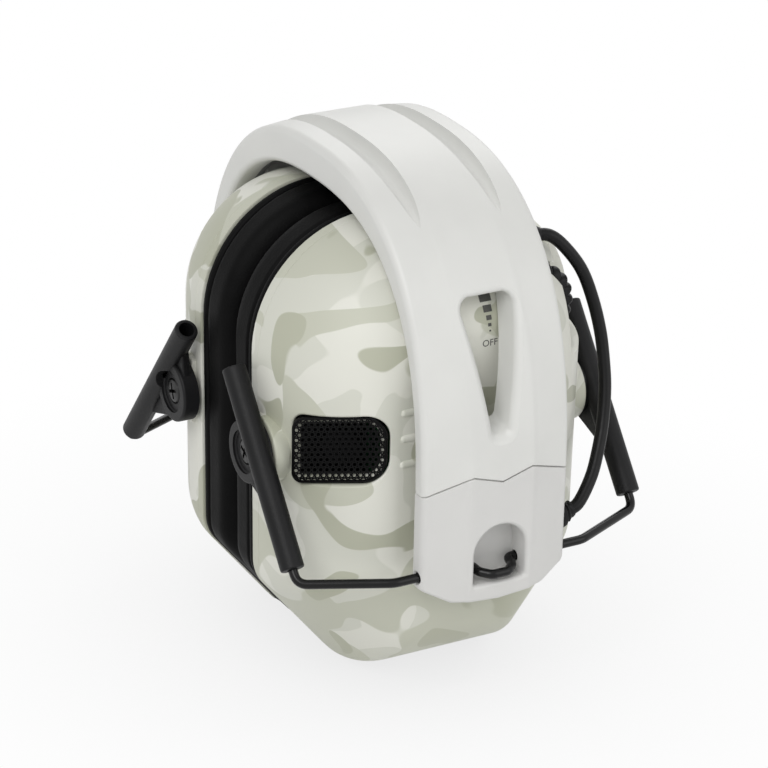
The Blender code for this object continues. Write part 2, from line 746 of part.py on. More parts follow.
def build_stirrup(name, side):
    """Build the one-piece fold wire: two legs, two arms and the crank between them."""
    half = [TUBE_FOOT + TUBE_DIR * LEG_LENGTH,
            TUBE_FOOT - TUBE_DIR * (TUBE_FOOT_RISE / TUBE_DIR.z),
            Vector((FOLD_X, ELBOW_Y, FOLD_HEIGHT)),
            Vector((FOLD_X, CRANK_FOOT_Y, FOLD_HEIGHT)),
            Vector((FOLD_X + CRANK_REACH, CRANK_TIP_Y, FOLD_HEIGHT - CRANK_DROP))]
    bends = [LEG_BEND, ELBOW_BEND, CRANK_BEND, CRANK_BEND]
    path = half + [Vector((p.x, -p.y, p.z)) for p in reversed(half)]
    return tube_path("fold_wire_" + name, round_path(path, bends + bends[::-1]),
                     WIRE_RADIUS, WIRE, 2, side)


def build_slider(name, side, end):
    """Build one slider tube with its pivot boss; end is -1 for front, 1 for rear."""
    def at(point):
        return Vector((point[0], point[1] * end, point[2]))
    foot, top = at(TUBE_FOOT), at(TUBE_FOOT + TUBE_DIR * TUBE_LENGTH)
    tube = solid("slider_" + name, cylinder(foot, top, TUBE_RADIUS, sides=18), BLACK, side)
    boss = solid("boss", cylinder(at((PIVOT_X, BOSS_IN, PIVOT_HEIGHT)),
                                  at((PIVOT_X, BOSS_OUT, PIVOT_HEIGHT)), BOSS_RADIUS, sides=24),
                 BLACK, side)
    pivot = Vector((PIVOT_X, TUBE_Y, PIVOT_HEIGHT)) - TUBE_FOOT
    along = pivot.dot(TUBE_DIR)
    across = pivot - TUBE_DIR * along
    aside = across.length
    across.normalize()
    web = [(along - WEB_LOW, 0.4), (along - 0.8 * BOSS_RADIUS, aside + 0.5 * BOSS_RADIUS),
           (along, aside + 0.85 * BOSS_RADIUS), (along + 0.8 * BOSS_RADIUS, aside + 0.3 * BOSS_RADIUS),
           (along + WEB_HIGH, 0.4)]
    rings = [[at(TUBE_FOOT + TUBE_DIR * a + across * c + Vector((0, y - TUBE_Y, 0))) for a, c in web]
             for y in (BOSS_IN + WEB_INSET, BOSS_OUT - WEB_INSET)]
    flange = solid("flange", loft(rings), BLACK, side)
    shape(tube, [boss, flange], "UNION")
    bore = solid("bore", cylinder(foot - TUBE_DIR * 2, top + TUBE_DIR * 2, WIRE_RADIUS + RUN_GAP,
                                  sides=12), BLACK, side)
    mouth = solid("mouth", cylinder(top - TUBE_DIR * TUBE_MOUTH_DEPTH, top + TUBE_DIR * 2,
                                    TUBE_MOUTH_RADIUS, sides=12), BLACK, side)
    hole = solid("hole", cylinder(at((PIVOT_X, BOSS_IN - 2, PIVOT_HEIGHT)),
                                  at((PIVOT_X, BOSS_OUT + 2, PIVOT_HEIGHT)),
                                  SCREW_SHANK_RADIUS + RUN_GAP, sides=12), BLACK, side)
    seat_y = BOSS_OUT - SCREW_HEAD_DEPTH - RUN_GAP
    sink = solid("sink", cylinder(at((PIVOT_X, seat_y, PIVOT_HEIGHT)),
                                  at((PIVOT_X, BOSS_OUT + 6, PIVOT_HEIGHT)),
                                  SCREW_HEAD_RADIUS + RUN_GAP, sides=18), BLACK, side)
    return shape(tube, [bore, mouth, hole, sink])


def build_screws(name, side):
    """Build the two pivot screws of one cup with their cross slots."""
    screws = []
    for end in (-1, 1):
        label = "pivot_screw_front_" if end < 0 else "pivot_screw_rear_"
        head = solid(label + name,
                     cylinder((PIVOT_X, end * (BOSS_OUT - SCREW_HEAD_DEPTH), PIVOT_HEIGHT),
                              (PIVOT_X, end * BOSS_OUT, PIVOT_HEIGHT), SCREW_HEAD_RADIUS,
                              SCREW_HEAD_RADIUS - 0.4, 18), DARK_STEEL, side)
        shank = solid("shank", cylinder((PIVOT_X, end * (CUP_HALF_WIDTH - SCREW_REACH), PIVOT_HEIGHT),
                                        (PIVOT_X, end * (BOSS_OUT - SLOT_DEPTH - 0.3), PIVOT_HEIGHT),
                                        SCREW_SHANK_RADIUS, sides=12), DARK_STEEL, side)
        shape(head, [shank], "UNION")
        long, thin = SCREW_HEAD_RADIUS * 0.66, SLOT_WIDTH / 2
        near, far = sorted((end * (BOSS_OUT - SLOT_DEPTH), end * (BOSS_OUT + 2)))
        for a, b in ((long, thin), (thin, long)):
            shape(head, [solid("slot", box((PIVOT_X - a, near, PIVOT_HEIGHT - b),
                                           (PIVOT_X + a, far, PIVOT_HEIGHT + b)), DARK_STEEL, side)])
        screws.append(head)
    return screws


def grille_frame():
    """Return the grille's centre and its width, height and outward directions."""
    point = surface_point(GRILLE_X, GRILLE_Z, -1)
    turn, tilt = math.radians(GRILLE_TURN), math.radians(GRILLE_TILT)
    outward = Vector((math.cos(turn), -math.sin(turn), 0))
    level = Vector((math.sin(turn), math.cos(turn), 0))
    wide = (level * math.cos(tilt) + Vector((0, 0, math.sin(tilt)))).normalized()
    return point - outward * GRILLE_SINK, wide, outward.cross(wide).normalized(), outward


def grille_prism(low, high, grow=0.0):
    """Extrude the grille's D-shaped outline along its outward direction."""
    centre, wide, tall, outward = grille_frame()
    w, h = GRILLE_WIDTH / 2 + grow, GRILLE_HEIGHT / 2 + grow
    outline = fillet_polygon([(-w, -h, GRILLE_SHARP + grow), (w, -h, GRILLE_FULL + grow),
                              (w, h, GRILLE_FULL + grow), (-w, h, GRILLE_SHARP + grow)], 18, 40)
    return loft([[centre + wide * u + tall * v + outward * d for u, v in outline]
                 for d in (low, high)])


def build_grille(name, side):
    """Build one perforated microphone grille and the capsule behind it."""
    centre, wide, tall, outward = grille_frame()
    grille = solid("mic_grille_" + name, grille_prism(-GRILLE_DEPTH, 0), BLACK, side)
    holes = bmesh.new()
    step = GRILLE_PITCH * math.sqrt(3) / 2
    reach_u = GRILLE_WIDTH / 2 - GRILLE_BORDER - GRILLE_HOLE_RADIUS
    reach_v = GRILLE_HEIGHT / 2 - GRILLE_BORDER - GRILLE_HOLE_RADIUS
    round_off = GRILLE_FULL - GRILLE_BORDER
    for row in range(-int(reach_v / step), int(reach_v / step) + 1):
        shift = GRILLE_PITCH / 2 if row % 2 else 0.0
        for column in range(-20, 21):
            u, v = column * GRILLE_PITCH + shift, row * step
            past_u, past_v = u - (reach_u - round_off), abs(v) - (reach_v - round_off)
            if abs(u) > reach_u or (past_u > 0 and past_v > 0 and past_u + past_v > round_off):
                continue
            spot = centre + wide * u + tall * v
            rings = [[holes.verts.new(spot + outward * d + GRILLE_HOLE_RADIUS * (
                wide * math.sin(math.pi * k / 3) + tall * math.cos(math.pi * k / 3)))
                for k in range(6)] for d in (-GRILLE_DEPTH - 1, 1)]
            for k in range(6):
                j = (k + 1) % 6
                holes.faces.new((rings[0][k], rings[0][j], rings[1][j], rings[1][k]))
            holes.faces.new(rings[0])
            holes.faces.new(rings[1])
    shape(grille, [solid("holes", holes, BLACK, side)])
    back = centre - outward * (GRILLE_DEPTH + CLEAR)
    capsule = solid("microphone_" + name,
                    cylinder(back, back - outward * MIC_DEPTH, MIC_RADIUS, sides=20), STEEL, side)
    return [grille, capsule]


def notch_box(grow):
    """Return the wheel notch of the +X cup, grown by a wall."""
    return box((NOTCH_START - grow, NOTCH_Y - grow, NOTCH_LOW - grow),
               (FACE_X + 20, CUP_HALF_WIDTH + 20, NOTCH_HIGH + grow))


def build_shell(name, side, wheel):
    """Build the outer shell of one cup, hollow and open towards the ear."""
    outer = [cup_ring(x) for x in dome_stations(SPLIT_X, FACE_X, 8)]
    shell = solid("outer_shell_" + name, loft(outer), CAMO, side)
    for end in (-1, 1):
        pad = solid("pad", cylinder((PIVOT_X, end * (CUP_HALF_WIDTH - 6), PIVOT_HEIGHT),
                                    (PIVOT_X, end * PAD_Y, PIVOT_HEIGHT), PAD_RADIUS, sides=24),
                    CAMO, side)
        shape(pad, [solid("trim", box((0, -90, 0), (SPLIT_X, 90, CUP_HEIGHT)), CAMO, side)])
        shape(shell, [pad], "UNION")
    for k in range(RIB_COUNT):
        height = FOLD_HEIGHT + RIB_RISE + (k - (RIB_COUNT - 1) / 2) * RIB_PITCH
        rib = cylinder((FACE_X - RIB_SINK, -RIB_Y - RIB_HALF_LENGTH, height),
                       (FACE_X - RIB_SINK, -RIB_Y + RIB_HALF_LENGTH, height), RIB_RADIUS, sides=12)
        shape(shell, [solid("rib", rib, CAMO, side)], "UNION")
    stations = sorted(dome_stations(SPLIT_X, FACE_X - SHELL_WALL, 6) + [PLATE_END])
    inner = [cup_ring(x, SHELL_WALL) for x in stations]
    inner = [[(SPLIT_X - 3, y, z) for _, y, z in inner[0]]] + inner
    cavity = solid("cavity", loft(inner), CAMO, side)
    tools = []
    if wheel:
        shape(cavity, [solid("notch_wall", notch_box(SHELL_WALL), CAMO, side)])
        tools.append(solid("notch", notch_box(0.0), CAMO, side))
    tools.append(cavity)
    if wheel:
        tools.append(solid("slot", cylinder((WHEEL_START - WHEEL_GAP, WHEEL_Y, WHEEL_Z),
                                            (WHEEL_START + WHEEL_WIDTH + WHEEL_GAP, WHEEL_Y, WHEEL_Z),
                                            WHEEL_RADIUS + WHEEL_GAP, sides=40), CAMO, side))
    for end in (-1, 1):
        tools.append(solid("hole", cylinder((PIVOT_X, end * (CUP_HALF_WIDTH - 12), PIVOT_HEIGHT),
                                            (PIVOT_X, end * (CUP_HALF_WIDTH + 5), PIVOT_HEIGHT),
                                            SCREW_SHANK_RADIUS + CLEAR, sides=16), CAMO, side))
    tools.append(solid("grille_cut", grille_prism(-9, 12, CLEAR), CAMO, side))
    point, way = gland_axis()
    tools.append(solid("gland_cut", cylinder(point - way * 9, point + way * 9,
                                             GLAND_RADIUS + CLEAR, sides=16), CAMO, side))
    for tool in tools:
        shape(shell, [tool])
    return shell


def build_cushion(name, side):
    """Build one ear cushion: a bead at the rim, a full wall and a crowned face."""
    start, end = CUP_MEET_GAP / 2, CUP_MEET_GAP / 2 + CUSHION_DEPTH
    bead = end - BEAD_DEPTH
    wall = [(end, 1.2), (end - 0.3 * BEAD_DEPTH, 0.3), (end - 0.75 * BEAD_DEPTH, 0.3),
            (bead - 0.3, 0.3 + BEAD_GROOVE), (bead - 0.9, 0.4)]
    full = bead - 0.9 - start
    for share in (0.55, 0.3, 0.14, 0.05, 0.0):
        wall.append((start + full * share, CUSHION_ROUND * (1 - share / 0.62) ** 2.6))
    rim = inset_loop(OUTLINE, CUSHION_INSET - 0.4)
    rings = [[(x, y, z) for y, z in inset_loop(rim, inwards)] for x, inwards in wall]
    for share, out in ((0.0, 4.6), (0.05, 2.4), (0.18, 0.8), (0.5, 0.0), (1.0, 0.4)):
        rings.append([(start + CUSHION_DEPTH * share, y, z)
                      for y, z in fitted_loop(EAR_HALF_WIDTH + out, EAR_HALF_HEIGHT + out)])
    return solid("cushion_" + name, loft(rings, loop=True), LEATHER, side)


def build_cup(name, side, wheel):
    """Build one cup with all that stays fixed in it."""
    pieces = [build_shell(name, side, wheel), build_cushion(name, side)]
    outer = [cup_ring(x) for x in (RIM_X, FRAME_END)]
    inner = [cup_ring(x, FRAME_WALL) for x in (FRAME_END, RIM_X)]
    pieces.append(solid("base_frame_" + name, loft(outer + inner, loop=True), CAMO, side))

    rim = cup_loop(RIM_X, FRAME_WALL + CLEAR)
    plate_rings = [[(x, y, z) for y, z in loop] for x, loop in (
        (RIM_X, rim), (RIM_X + BASE_PLATE_DEPTH, rim),
        (RIM_X + BASE_PLATE_DEPTH, EAR_LOOP), (RIM_X, EAR_LOOP))]
    pieces.append(solid("base_plate_" + name, loft(plate_rings, loop=True), BLACK, side))

    foam = solid("ear_foam_" + name,
                 slab(fitted_loop(CUP_HALF_WIDTH - FOAM_MARGIN, CUP_MID - FOAM_MARGIN),
                      FOAM_X, FOAM_X + FOAM_DEPTH), FOAM, side)
    tools = [solid("hole", cylinder((FOAM_X - 2, 0, SPEAKER_HEIGHT),
                                    (FOAM_X + FOAM_DEPTH + 2, 0, SPEAKER_HEIGHT),
                                    SPEAKER_RADIUS + CLEAR, sides=32), FOAM, side)]
    if wheel:
        tools.append(solid("clear", notch_box(SHELL_WALL + CLEAR), FOAM, side))
    pieces.append(shape(foam, tools))
    front = PLATE_X - CLEAR - SPEAKER_DEPTH
    speaker = solid("speaker_" + name, cylinder((front, 0, SPEAKER_HEIGHT),
                                                (PLATE_X - CLEAR, 0, SPEAKER_HEIGHT),
                                                SPEAKER_RADIUS, sides=32), STEEL, side)
    shape(speaker, [solid("dish", cylinder((front - 0.5, 0, SPEAKER_HEIGHT),
                                           (front + SPEAKER_DISH, 0, SPEAKER_HEIGHT),
                                           SPEAKER_RADIUS - 1.6, SPEAKER_RADIUS * 0.4, 32), STEEL, side)])
    pieces.append(speaker)

    plate = solid("speaker_plate_" + name,
                  slab(cup_loop(PLATE_END, SHELL_WALL + CLEAR), PLATE_X, PLATE_END), BLACK, side)
    if wheel:
        shape(plate, [solid("clear", notch_box(SHELL_WALL + CLEAR), BLACK, side)])
    pieces.append(plate)
    pieces += build_grille(name, side)
    pieces += build_screws(name, side)

    point, way = gland_axis()
    pieces.append(solid("cable_gland_" + name,
                        cylinder(point - way * GLAND_INSIDE, point + way * GLAND_OUTSIDE,
                                 GLAND_RADIUS, GLAND_TIP_RADIUS, 16), BLACK, side))
    pieces.append(tube_path("lead_" + name, lead_path(), LEAD_RADIUS, RUBBER, 2, side))
    return pieces


def build_volume_parts(side):
    """Build the circuit board, the volume control and its wheel in the +X cup."""
    low = Vector((PLATE_END + CLEAR, BOARD_Y - BOARD_WIDTH / 2,
                  FOLD_HEIGHT + BOARD_RISE - BOARD_HEIGHT / 2))
    high = low + Vector((BOARD_DEPTH, BOARD_WIDTH, BOARD_HEIGHT))
    board = solid("circuit_board", box(low, high), BOARD, side)
    chip_low = Vector((high.x + CLEAR, BOARD_Y - CHIP_SIDE / 2, (low.z + high.z) / 2 - CHIP_SIDE / 2))
    chip = solid("amplifier_chip", box(chip_low, chip_low + Vector((CHIP_DEPTH, CHIP_SIDE, CHIP_SIDE))),
                 BLACK, side)
    pot = solid("volume_control", cylinder((PLATE_END + CLEAR, WHEEL_Y, WHEEL_Z),
                                           (POT_END, WHEEL_Y, WHEEL_Z), POT_RADIUS, sides=20), STEEL, side)
    shape(pot, [solid("bore", cylinder((WHEEL_START - SHAFT_LENGTH - RUN_GAP, WHEEL_Y, WHEEL_Z),
                                       (WHEEL_START, WHEEL_Y, WHEEL_Z), SHAFT_RADIUS + RUN_GAP,
                                       sides=16), STEEL, side)])
    steps = WHEEL_LOBES * 4
    rim = [(WHEEL_Y + r * math.cos(a), WHEEL_Z + r * math.sin(a)) for a, r in (
        (2 * math.pi * k / steps,
         WHEEL_RADIUS - LOBE_DEPTH * abs(math.sin(math.pi * k / 4)) ** 2.4) for k in range(steps))]
    wheel = solid("volume_wheel", slab(rim, WHEEL_START, WHEEL_START + WHEEL_WIDTH), BLACK, side)
    shaft = solid("shaft", cylinder((WHEEL_START - SHAFT_LENGTH, WHEEL_Y, WHEEL_Z),
                                    (WHEEL_START + 1, WHEEL_Y, WHEEL_Z), SHAFT_RADIUS, sides=16),
                  BLACK, side)
    shape(wheel, [shaft], "UNION")
    return [board, chip, pot], wheel


def build_cells(side):
    """Build the battery tray, its two cells and their contacts in the -X cup."""
    floor = PLATE_END + CLEAR + TRAY_WALL
    middle = floor + CLEAR + CELL_RADIUS
    offset = CELL_RADIUS + CELL_GAP / 2
    wide = offset + CELL_RADIUS + CLEAR
    reach = CELL_LENGTH / 2
    bay = reach + CONTACT_DEPTH + 2 * CLEAR
    tray = solid("battery_tray", box((floor - TRAY_WALL, -wide - TRAY_WALL, CUP_MID - bay - TRAY_WALL),
                                     (middle + TRAY_SHARE, wide + TRAY_WALL, CUP_MID + bay + TRAY_WALL)),
                 BLACK, side)
    shape(tray, [solid("hollow", box((floor, -wide, CUP_MID - bay),
                                     (middle + 30, wide, CUP_MID + bay)), BLACK, side)])
    pieces = [tray]
    for label, y in (("front", -offset), ("rear", offset)):
        pieces.append(solid("battery_cell_" + label,
                            cylinder((middle, y, CUP_MID - reach), (middle, y, CUP_MID + reach),
                                     CELL_RADIUS, sides=20), CELL, side))
    for label, sign in (("low", -1), ("high", 1)):
        near, far = sorted((CUP_MID + sign * (reach + CLEAR),
                            CUP_MID + sign * (reach + CLEAR + CONTACT_DEPTH)))
        pieces.append(solid("battery_contact_" + label, box(
            (middle - CONTACT_HALF, -offset - CONTACT_HALF, near),
            (middle + CONTACT_HALF, offset + CONTACT_HALF, far)), STEEL, side))
    return pieces


def joint_empty(name, position, parent=None):
    """Add an empty on a joint's axis."""
    empty = bpy.data.objects.new(name, None)
    bpy.context.collection.objects.link(empty)
    empty["world"] = tuple(position)
    base = Vector(parent["world"]) if parent is not None else Vector((0, 0, 0))
    empty.parent = parent
    empty.location = (Vector(position) - base) * MM
    return empty


def seat(pieces, empty):
    """Parent pieces to an empty and keep them where they are."""
    origin = Vector(empty["world"]) * MM
    for piece in pieces:
        piece.data.transform(Matrix.Translation(-origin))
        piece.parent = empty
        piece.location = (0, 0, 0)
        if piece.type == "MESH":
            piece.data.shade_smooth()
            piece.data.set_sharp_from_angle(angle=math.radians(35))


def main():
    """Build the whole earmuff."""
    root = joint_empty("crown_body", (0, 0, 0))
    seat(build_crown(), root)
    for name, side in (("left", 1), ("right", -1)):
        arm = joint_empty("spread_axis_" + name, (side * HINGE.x, 0, HINGE.z), root)
        seat(build_arm(name, side), arm)
        fold = joint_empty("fold_axis_" + name, (side * FOLD_X, 0, FOLD_HEIGHT), arm)
        seat([build_stirrup(name, side)], fold)
        slide = joint_empty("slide_axis_" + name, (side * TUBE_FOOT.x, 0, TUBE_FOOT.z), fold)
        seat([build_slider("front_" + name, side, -1), build_slider("rear_" + name, side, 1)], slide)
        pivot = joint_empty("pivot_axis_" + name, (side * PIVOT_X, 0, PIVOT_HEIGHT), slide)
        seat(build_cup(name, side, side > 0), pivot)
        if side > 0:
            fixed, knob = build_volume_parts(side)
            seat(fixed, pivot)
            axis = joint_empty("wheel_axis", (side * WHEEL_START, WHEEL_Y, WHEEL_Z), pivot)
            seat([knob], axis)
        else:
            seat(build_cells(side), pivot)


main()
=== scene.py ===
"""Looks of a slim folding earmuff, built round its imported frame.

Shapes are worked out in millimetres in the frame's own axes (X across the head, -Y forward, Z up)
and become metres when a piece is made.
"""
import json
import logging
import math
from collections.abc import Callable, Iterable, Sequence
from dataclasses import dataclass, field
from enum import Enum

import bmesh
import bpy
from mathutils import Matrix, Vector, noise
from mathutils.bvhtree import BVHTree
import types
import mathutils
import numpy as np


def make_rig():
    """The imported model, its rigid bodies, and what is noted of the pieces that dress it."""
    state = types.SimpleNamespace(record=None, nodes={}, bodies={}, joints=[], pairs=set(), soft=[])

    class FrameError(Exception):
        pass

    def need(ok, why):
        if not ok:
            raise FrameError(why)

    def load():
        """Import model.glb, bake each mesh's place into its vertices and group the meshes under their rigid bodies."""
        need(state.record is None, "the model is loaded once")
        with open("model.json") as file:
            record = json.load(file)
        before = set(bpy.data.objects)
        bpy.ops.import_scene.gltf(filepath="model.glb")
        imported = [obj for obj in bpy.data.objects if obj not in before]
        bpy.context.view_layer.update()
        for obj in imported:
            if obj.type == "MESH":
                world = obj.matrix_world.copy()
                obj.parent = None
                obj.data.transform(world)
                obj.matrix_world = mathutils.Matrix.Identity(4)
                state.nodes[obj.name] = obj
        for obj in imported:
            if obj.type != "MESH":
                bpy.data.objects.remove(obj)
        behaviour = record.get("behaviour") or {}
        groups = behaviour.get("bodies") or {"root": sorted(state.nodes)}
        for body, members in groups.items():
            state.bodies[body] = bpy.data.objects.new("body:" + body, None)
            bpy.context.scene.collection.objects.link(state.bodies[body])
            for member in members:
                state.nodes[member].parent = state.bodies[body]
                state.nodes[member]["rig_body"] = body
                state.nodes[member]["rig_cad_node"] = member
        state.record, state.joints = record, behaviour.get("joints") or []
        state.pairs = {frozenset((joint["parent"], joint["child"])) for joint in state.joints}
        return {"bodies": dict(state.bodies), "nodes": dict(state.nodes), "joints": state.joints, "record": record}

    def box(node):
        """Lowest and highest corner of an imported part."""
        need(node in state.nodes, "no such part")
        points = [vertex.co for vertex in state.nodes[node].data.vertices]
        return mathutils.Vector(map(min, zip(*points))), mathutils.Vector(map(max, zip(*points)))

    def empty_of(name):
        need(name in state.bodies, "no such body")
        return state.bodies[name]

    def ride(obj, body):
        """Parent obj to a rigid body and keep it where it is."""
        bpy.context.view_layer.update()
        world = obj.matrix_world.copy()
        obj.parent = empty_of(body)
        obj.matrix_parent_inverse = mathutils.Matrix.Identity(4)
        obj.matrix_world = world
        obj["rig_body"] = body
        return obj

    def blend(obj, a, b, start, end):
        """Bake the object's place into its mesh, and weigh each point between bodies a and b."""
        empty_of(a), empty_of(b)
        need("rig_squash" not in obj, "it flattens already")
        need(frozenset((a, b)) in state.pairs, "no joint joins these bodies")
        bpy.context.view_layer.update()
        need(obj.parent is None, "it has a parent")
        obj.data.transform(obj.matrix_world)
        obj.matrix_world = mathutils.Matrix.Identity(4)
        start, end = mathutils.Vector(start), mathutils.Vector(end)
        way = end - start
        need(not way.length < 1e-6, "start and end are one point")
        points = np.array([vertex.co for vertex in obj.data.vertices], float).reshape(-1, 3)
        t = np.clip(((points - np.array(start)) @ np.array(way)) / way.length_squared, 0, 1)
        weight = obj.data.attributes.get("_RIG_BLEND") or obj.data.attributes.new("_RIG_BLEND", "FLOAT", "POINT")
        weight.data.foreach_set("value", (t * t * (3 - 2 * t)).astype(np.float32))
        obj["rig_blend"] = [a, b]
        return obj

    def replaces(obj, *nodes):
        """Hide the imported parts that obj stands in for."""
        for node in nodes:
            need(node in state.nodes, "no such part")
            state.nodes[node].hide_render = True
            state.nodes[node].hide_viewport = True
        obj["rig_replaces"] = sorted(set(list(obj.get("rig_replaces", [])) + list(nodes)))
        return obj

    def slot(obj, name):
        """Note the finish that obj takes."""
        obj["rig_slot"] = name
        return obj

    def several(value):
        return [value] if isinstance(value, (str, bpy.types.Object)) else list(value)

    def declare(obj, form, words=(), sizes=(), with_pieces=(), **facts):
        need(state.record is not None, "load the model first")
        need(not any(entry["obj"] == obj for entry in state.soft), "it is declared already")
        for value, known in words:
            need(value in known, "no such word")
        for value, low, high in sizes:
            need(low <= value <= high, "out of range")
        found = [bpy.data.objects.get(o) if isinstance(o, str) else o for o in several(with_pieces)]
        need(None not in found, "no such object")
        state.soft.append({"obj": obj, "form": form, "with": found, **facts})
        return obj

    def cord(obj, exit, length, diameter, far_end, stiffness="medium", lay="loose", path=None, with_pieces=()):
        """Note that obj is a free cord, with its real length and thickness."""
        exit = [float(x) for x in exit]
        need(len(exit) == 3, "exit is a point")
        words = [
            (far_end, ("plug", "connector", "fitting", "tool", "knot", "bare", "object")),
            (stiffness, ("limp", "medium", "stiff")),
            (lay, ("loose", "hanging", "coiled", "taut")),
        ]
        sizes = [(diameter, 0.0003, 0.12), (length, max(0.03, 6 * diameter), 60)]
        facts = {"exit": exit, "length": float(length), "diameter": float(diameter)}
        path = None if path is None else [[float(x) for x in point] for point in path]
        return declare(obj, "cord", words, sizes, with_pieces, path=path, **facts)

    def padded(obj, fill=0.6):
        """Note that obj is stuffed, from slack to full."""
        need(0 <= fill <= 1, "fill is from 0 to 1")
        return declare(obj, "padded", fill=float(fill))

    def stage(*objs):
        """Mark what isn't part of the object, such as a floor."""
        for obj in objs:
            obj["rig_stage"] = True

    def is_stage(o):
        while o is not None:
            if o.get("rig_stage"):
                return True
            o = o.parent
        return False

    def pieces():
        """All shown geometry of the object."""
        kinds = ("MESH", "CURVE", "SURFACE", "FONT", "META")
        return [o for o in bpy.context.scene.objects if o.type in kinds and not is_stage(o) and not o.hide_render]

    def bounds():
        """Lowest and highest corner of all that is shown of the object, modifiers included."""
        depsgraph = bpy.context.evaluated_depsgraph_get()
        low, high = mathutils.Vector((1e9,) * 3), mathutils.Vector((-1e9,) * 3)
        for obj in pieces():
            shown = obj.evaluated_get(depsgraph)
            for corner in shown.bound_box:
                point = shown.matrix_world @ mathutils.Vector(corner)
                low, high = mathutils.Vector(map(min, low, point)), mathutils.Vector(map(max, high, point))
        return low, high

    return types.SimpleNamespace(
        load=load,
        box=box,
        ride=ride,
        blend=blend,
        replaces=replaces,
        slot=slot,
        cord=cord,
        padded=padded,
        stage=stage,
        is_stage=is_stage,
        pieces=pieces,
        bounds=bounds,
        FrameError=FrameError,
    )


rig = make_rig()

LOG = logging.getLogger("earmuff")
MM = 0.001
BEND_PARTS = 8
BAR_PARTS = 4
CUTTER_REACH = 12.0
CREASE_ANGLE = 30.0
SIDES = (("left", 1), ("right", -1))
SIZE_FILE = "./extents.json"

for old in list(bpy.data.objects):
    bpy.data.objects.remove(old, do_unlink=True)
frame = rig.load()
CAD_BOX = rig.bounds()

Pair = tuple[float, float]
Triple = tuple[float, float, float]


class Ends(Enum):
    """How the ends of a loft are closed."""

    CAPPED = "capped"
    JOINED = "joined"
    LADDER = "ladder"


class Cut(Enum):
    """Boolean operations."""

    DIFFERENCE = "DIFFERENCE"
    UNION = "UNION"


# Shader maths


class Value:
    """A float socket of a node tree that takes part in Python expressions."""

    def __init__(self, nodes: "Nodes", socket: bpy.types.NodeSocket) -> None:
        """Wrap a socket."""
        self.nodes = nodes
        self.socket = socket

    def _math(self, operation: str, first: object, second: object) -> "Value":
        """Return what one Math node makes of two values or numbers."""
        made = self.nodes.node("ShaderNodeMath", {"operation": operation}, {0: first, 1: second})
        return Value(self.nodes, made.outputs[0])

    def __add__(self, other: object) -> "Value":
        """Return the sum."""
        return self._math("ADD", self, other)

    __radd__ = __add__

    def __sub__(self, other: object) -> "Value":
        """Return the difference."""
        return self._math("SUBTRACT", self, other)

    def __rsub__(self, other: object) -> "Value":
        """Return the difference from a number."""
        return self._math("SUBTRACT", other, self)

    def __mul__(self, other: object) -> "Value":
        """Return the product."""
        return self._math("MULTIPLY", self, other)

    __rmul__ = __mul__

    def most(self, other: object) -> "Value":
        """Return the larger of two values."""
        return self._math("MAXIMUM", self, other)

    def step(self, low: float, high: float) -> "Value":
        """Return a smooth step from 0 at low to 1 at high.

        Args:
            low: where the step starts.
            high: where it ends.

        Returns:
            The step.
        """
        made = self.nodes.node("ShaderNodeMapRange", {"interpolation_type": "SMOOTHSTEP"},
                               {"Value": self, "From Min": low, "From Max": high})
        return Value(self.nodes, made.outputs[0])


class Nodes:
    """A node tree under construction."""

    def __init__(self, tree: bpy.types.NodeTree) -> None:
        """Take up a tree."""
        self.tree = tree

    def node(self, kind: str, settings: dict, inputs: dict) -> bpy.types.Node:
        """Add a node.

        Args:
            kind: the node's type.
            settings: its properties, set first.
            inputs: values or links of its sockets, by name or number.

        Returns:
            The new node.
        """
        made = self.tree.nodes.new(kind)
        for key, value in settings.items():
            setattr(made, key, value)
        for key, value in inputs.items():
            self.feed(made.inputs[key], value)
        return made

    def feed(self, socket: bpy.types.NodeSocket, value: object) -> None:
        """Link or set one socket.

        Args:
            socket: the socket.
            value: a number, a colour, a socket or a Value.
        """
        if isinstance(value, Value):
            value = value.socket
        if isinstance(value, bpy.types.NodeSocket):
            self.tree.links.new(value, socket)
        else:
            socket.default_value = value

    def ray(self, kind: str) -> Value:
        """Return 1 for light rays of a kind, and 0 for others."""
        return Value(self, self.node("ShaderNodeLightPath", {}, {}).outputs[f"Is {kind} Ray"])

    def seen(self) -> Value:
        """Return 1 for rays that show the background, and 0 for those that only carry light."""
        return self.ray("Camera").most(self.ray("Glossy")).most(self.ray("Transmission"))


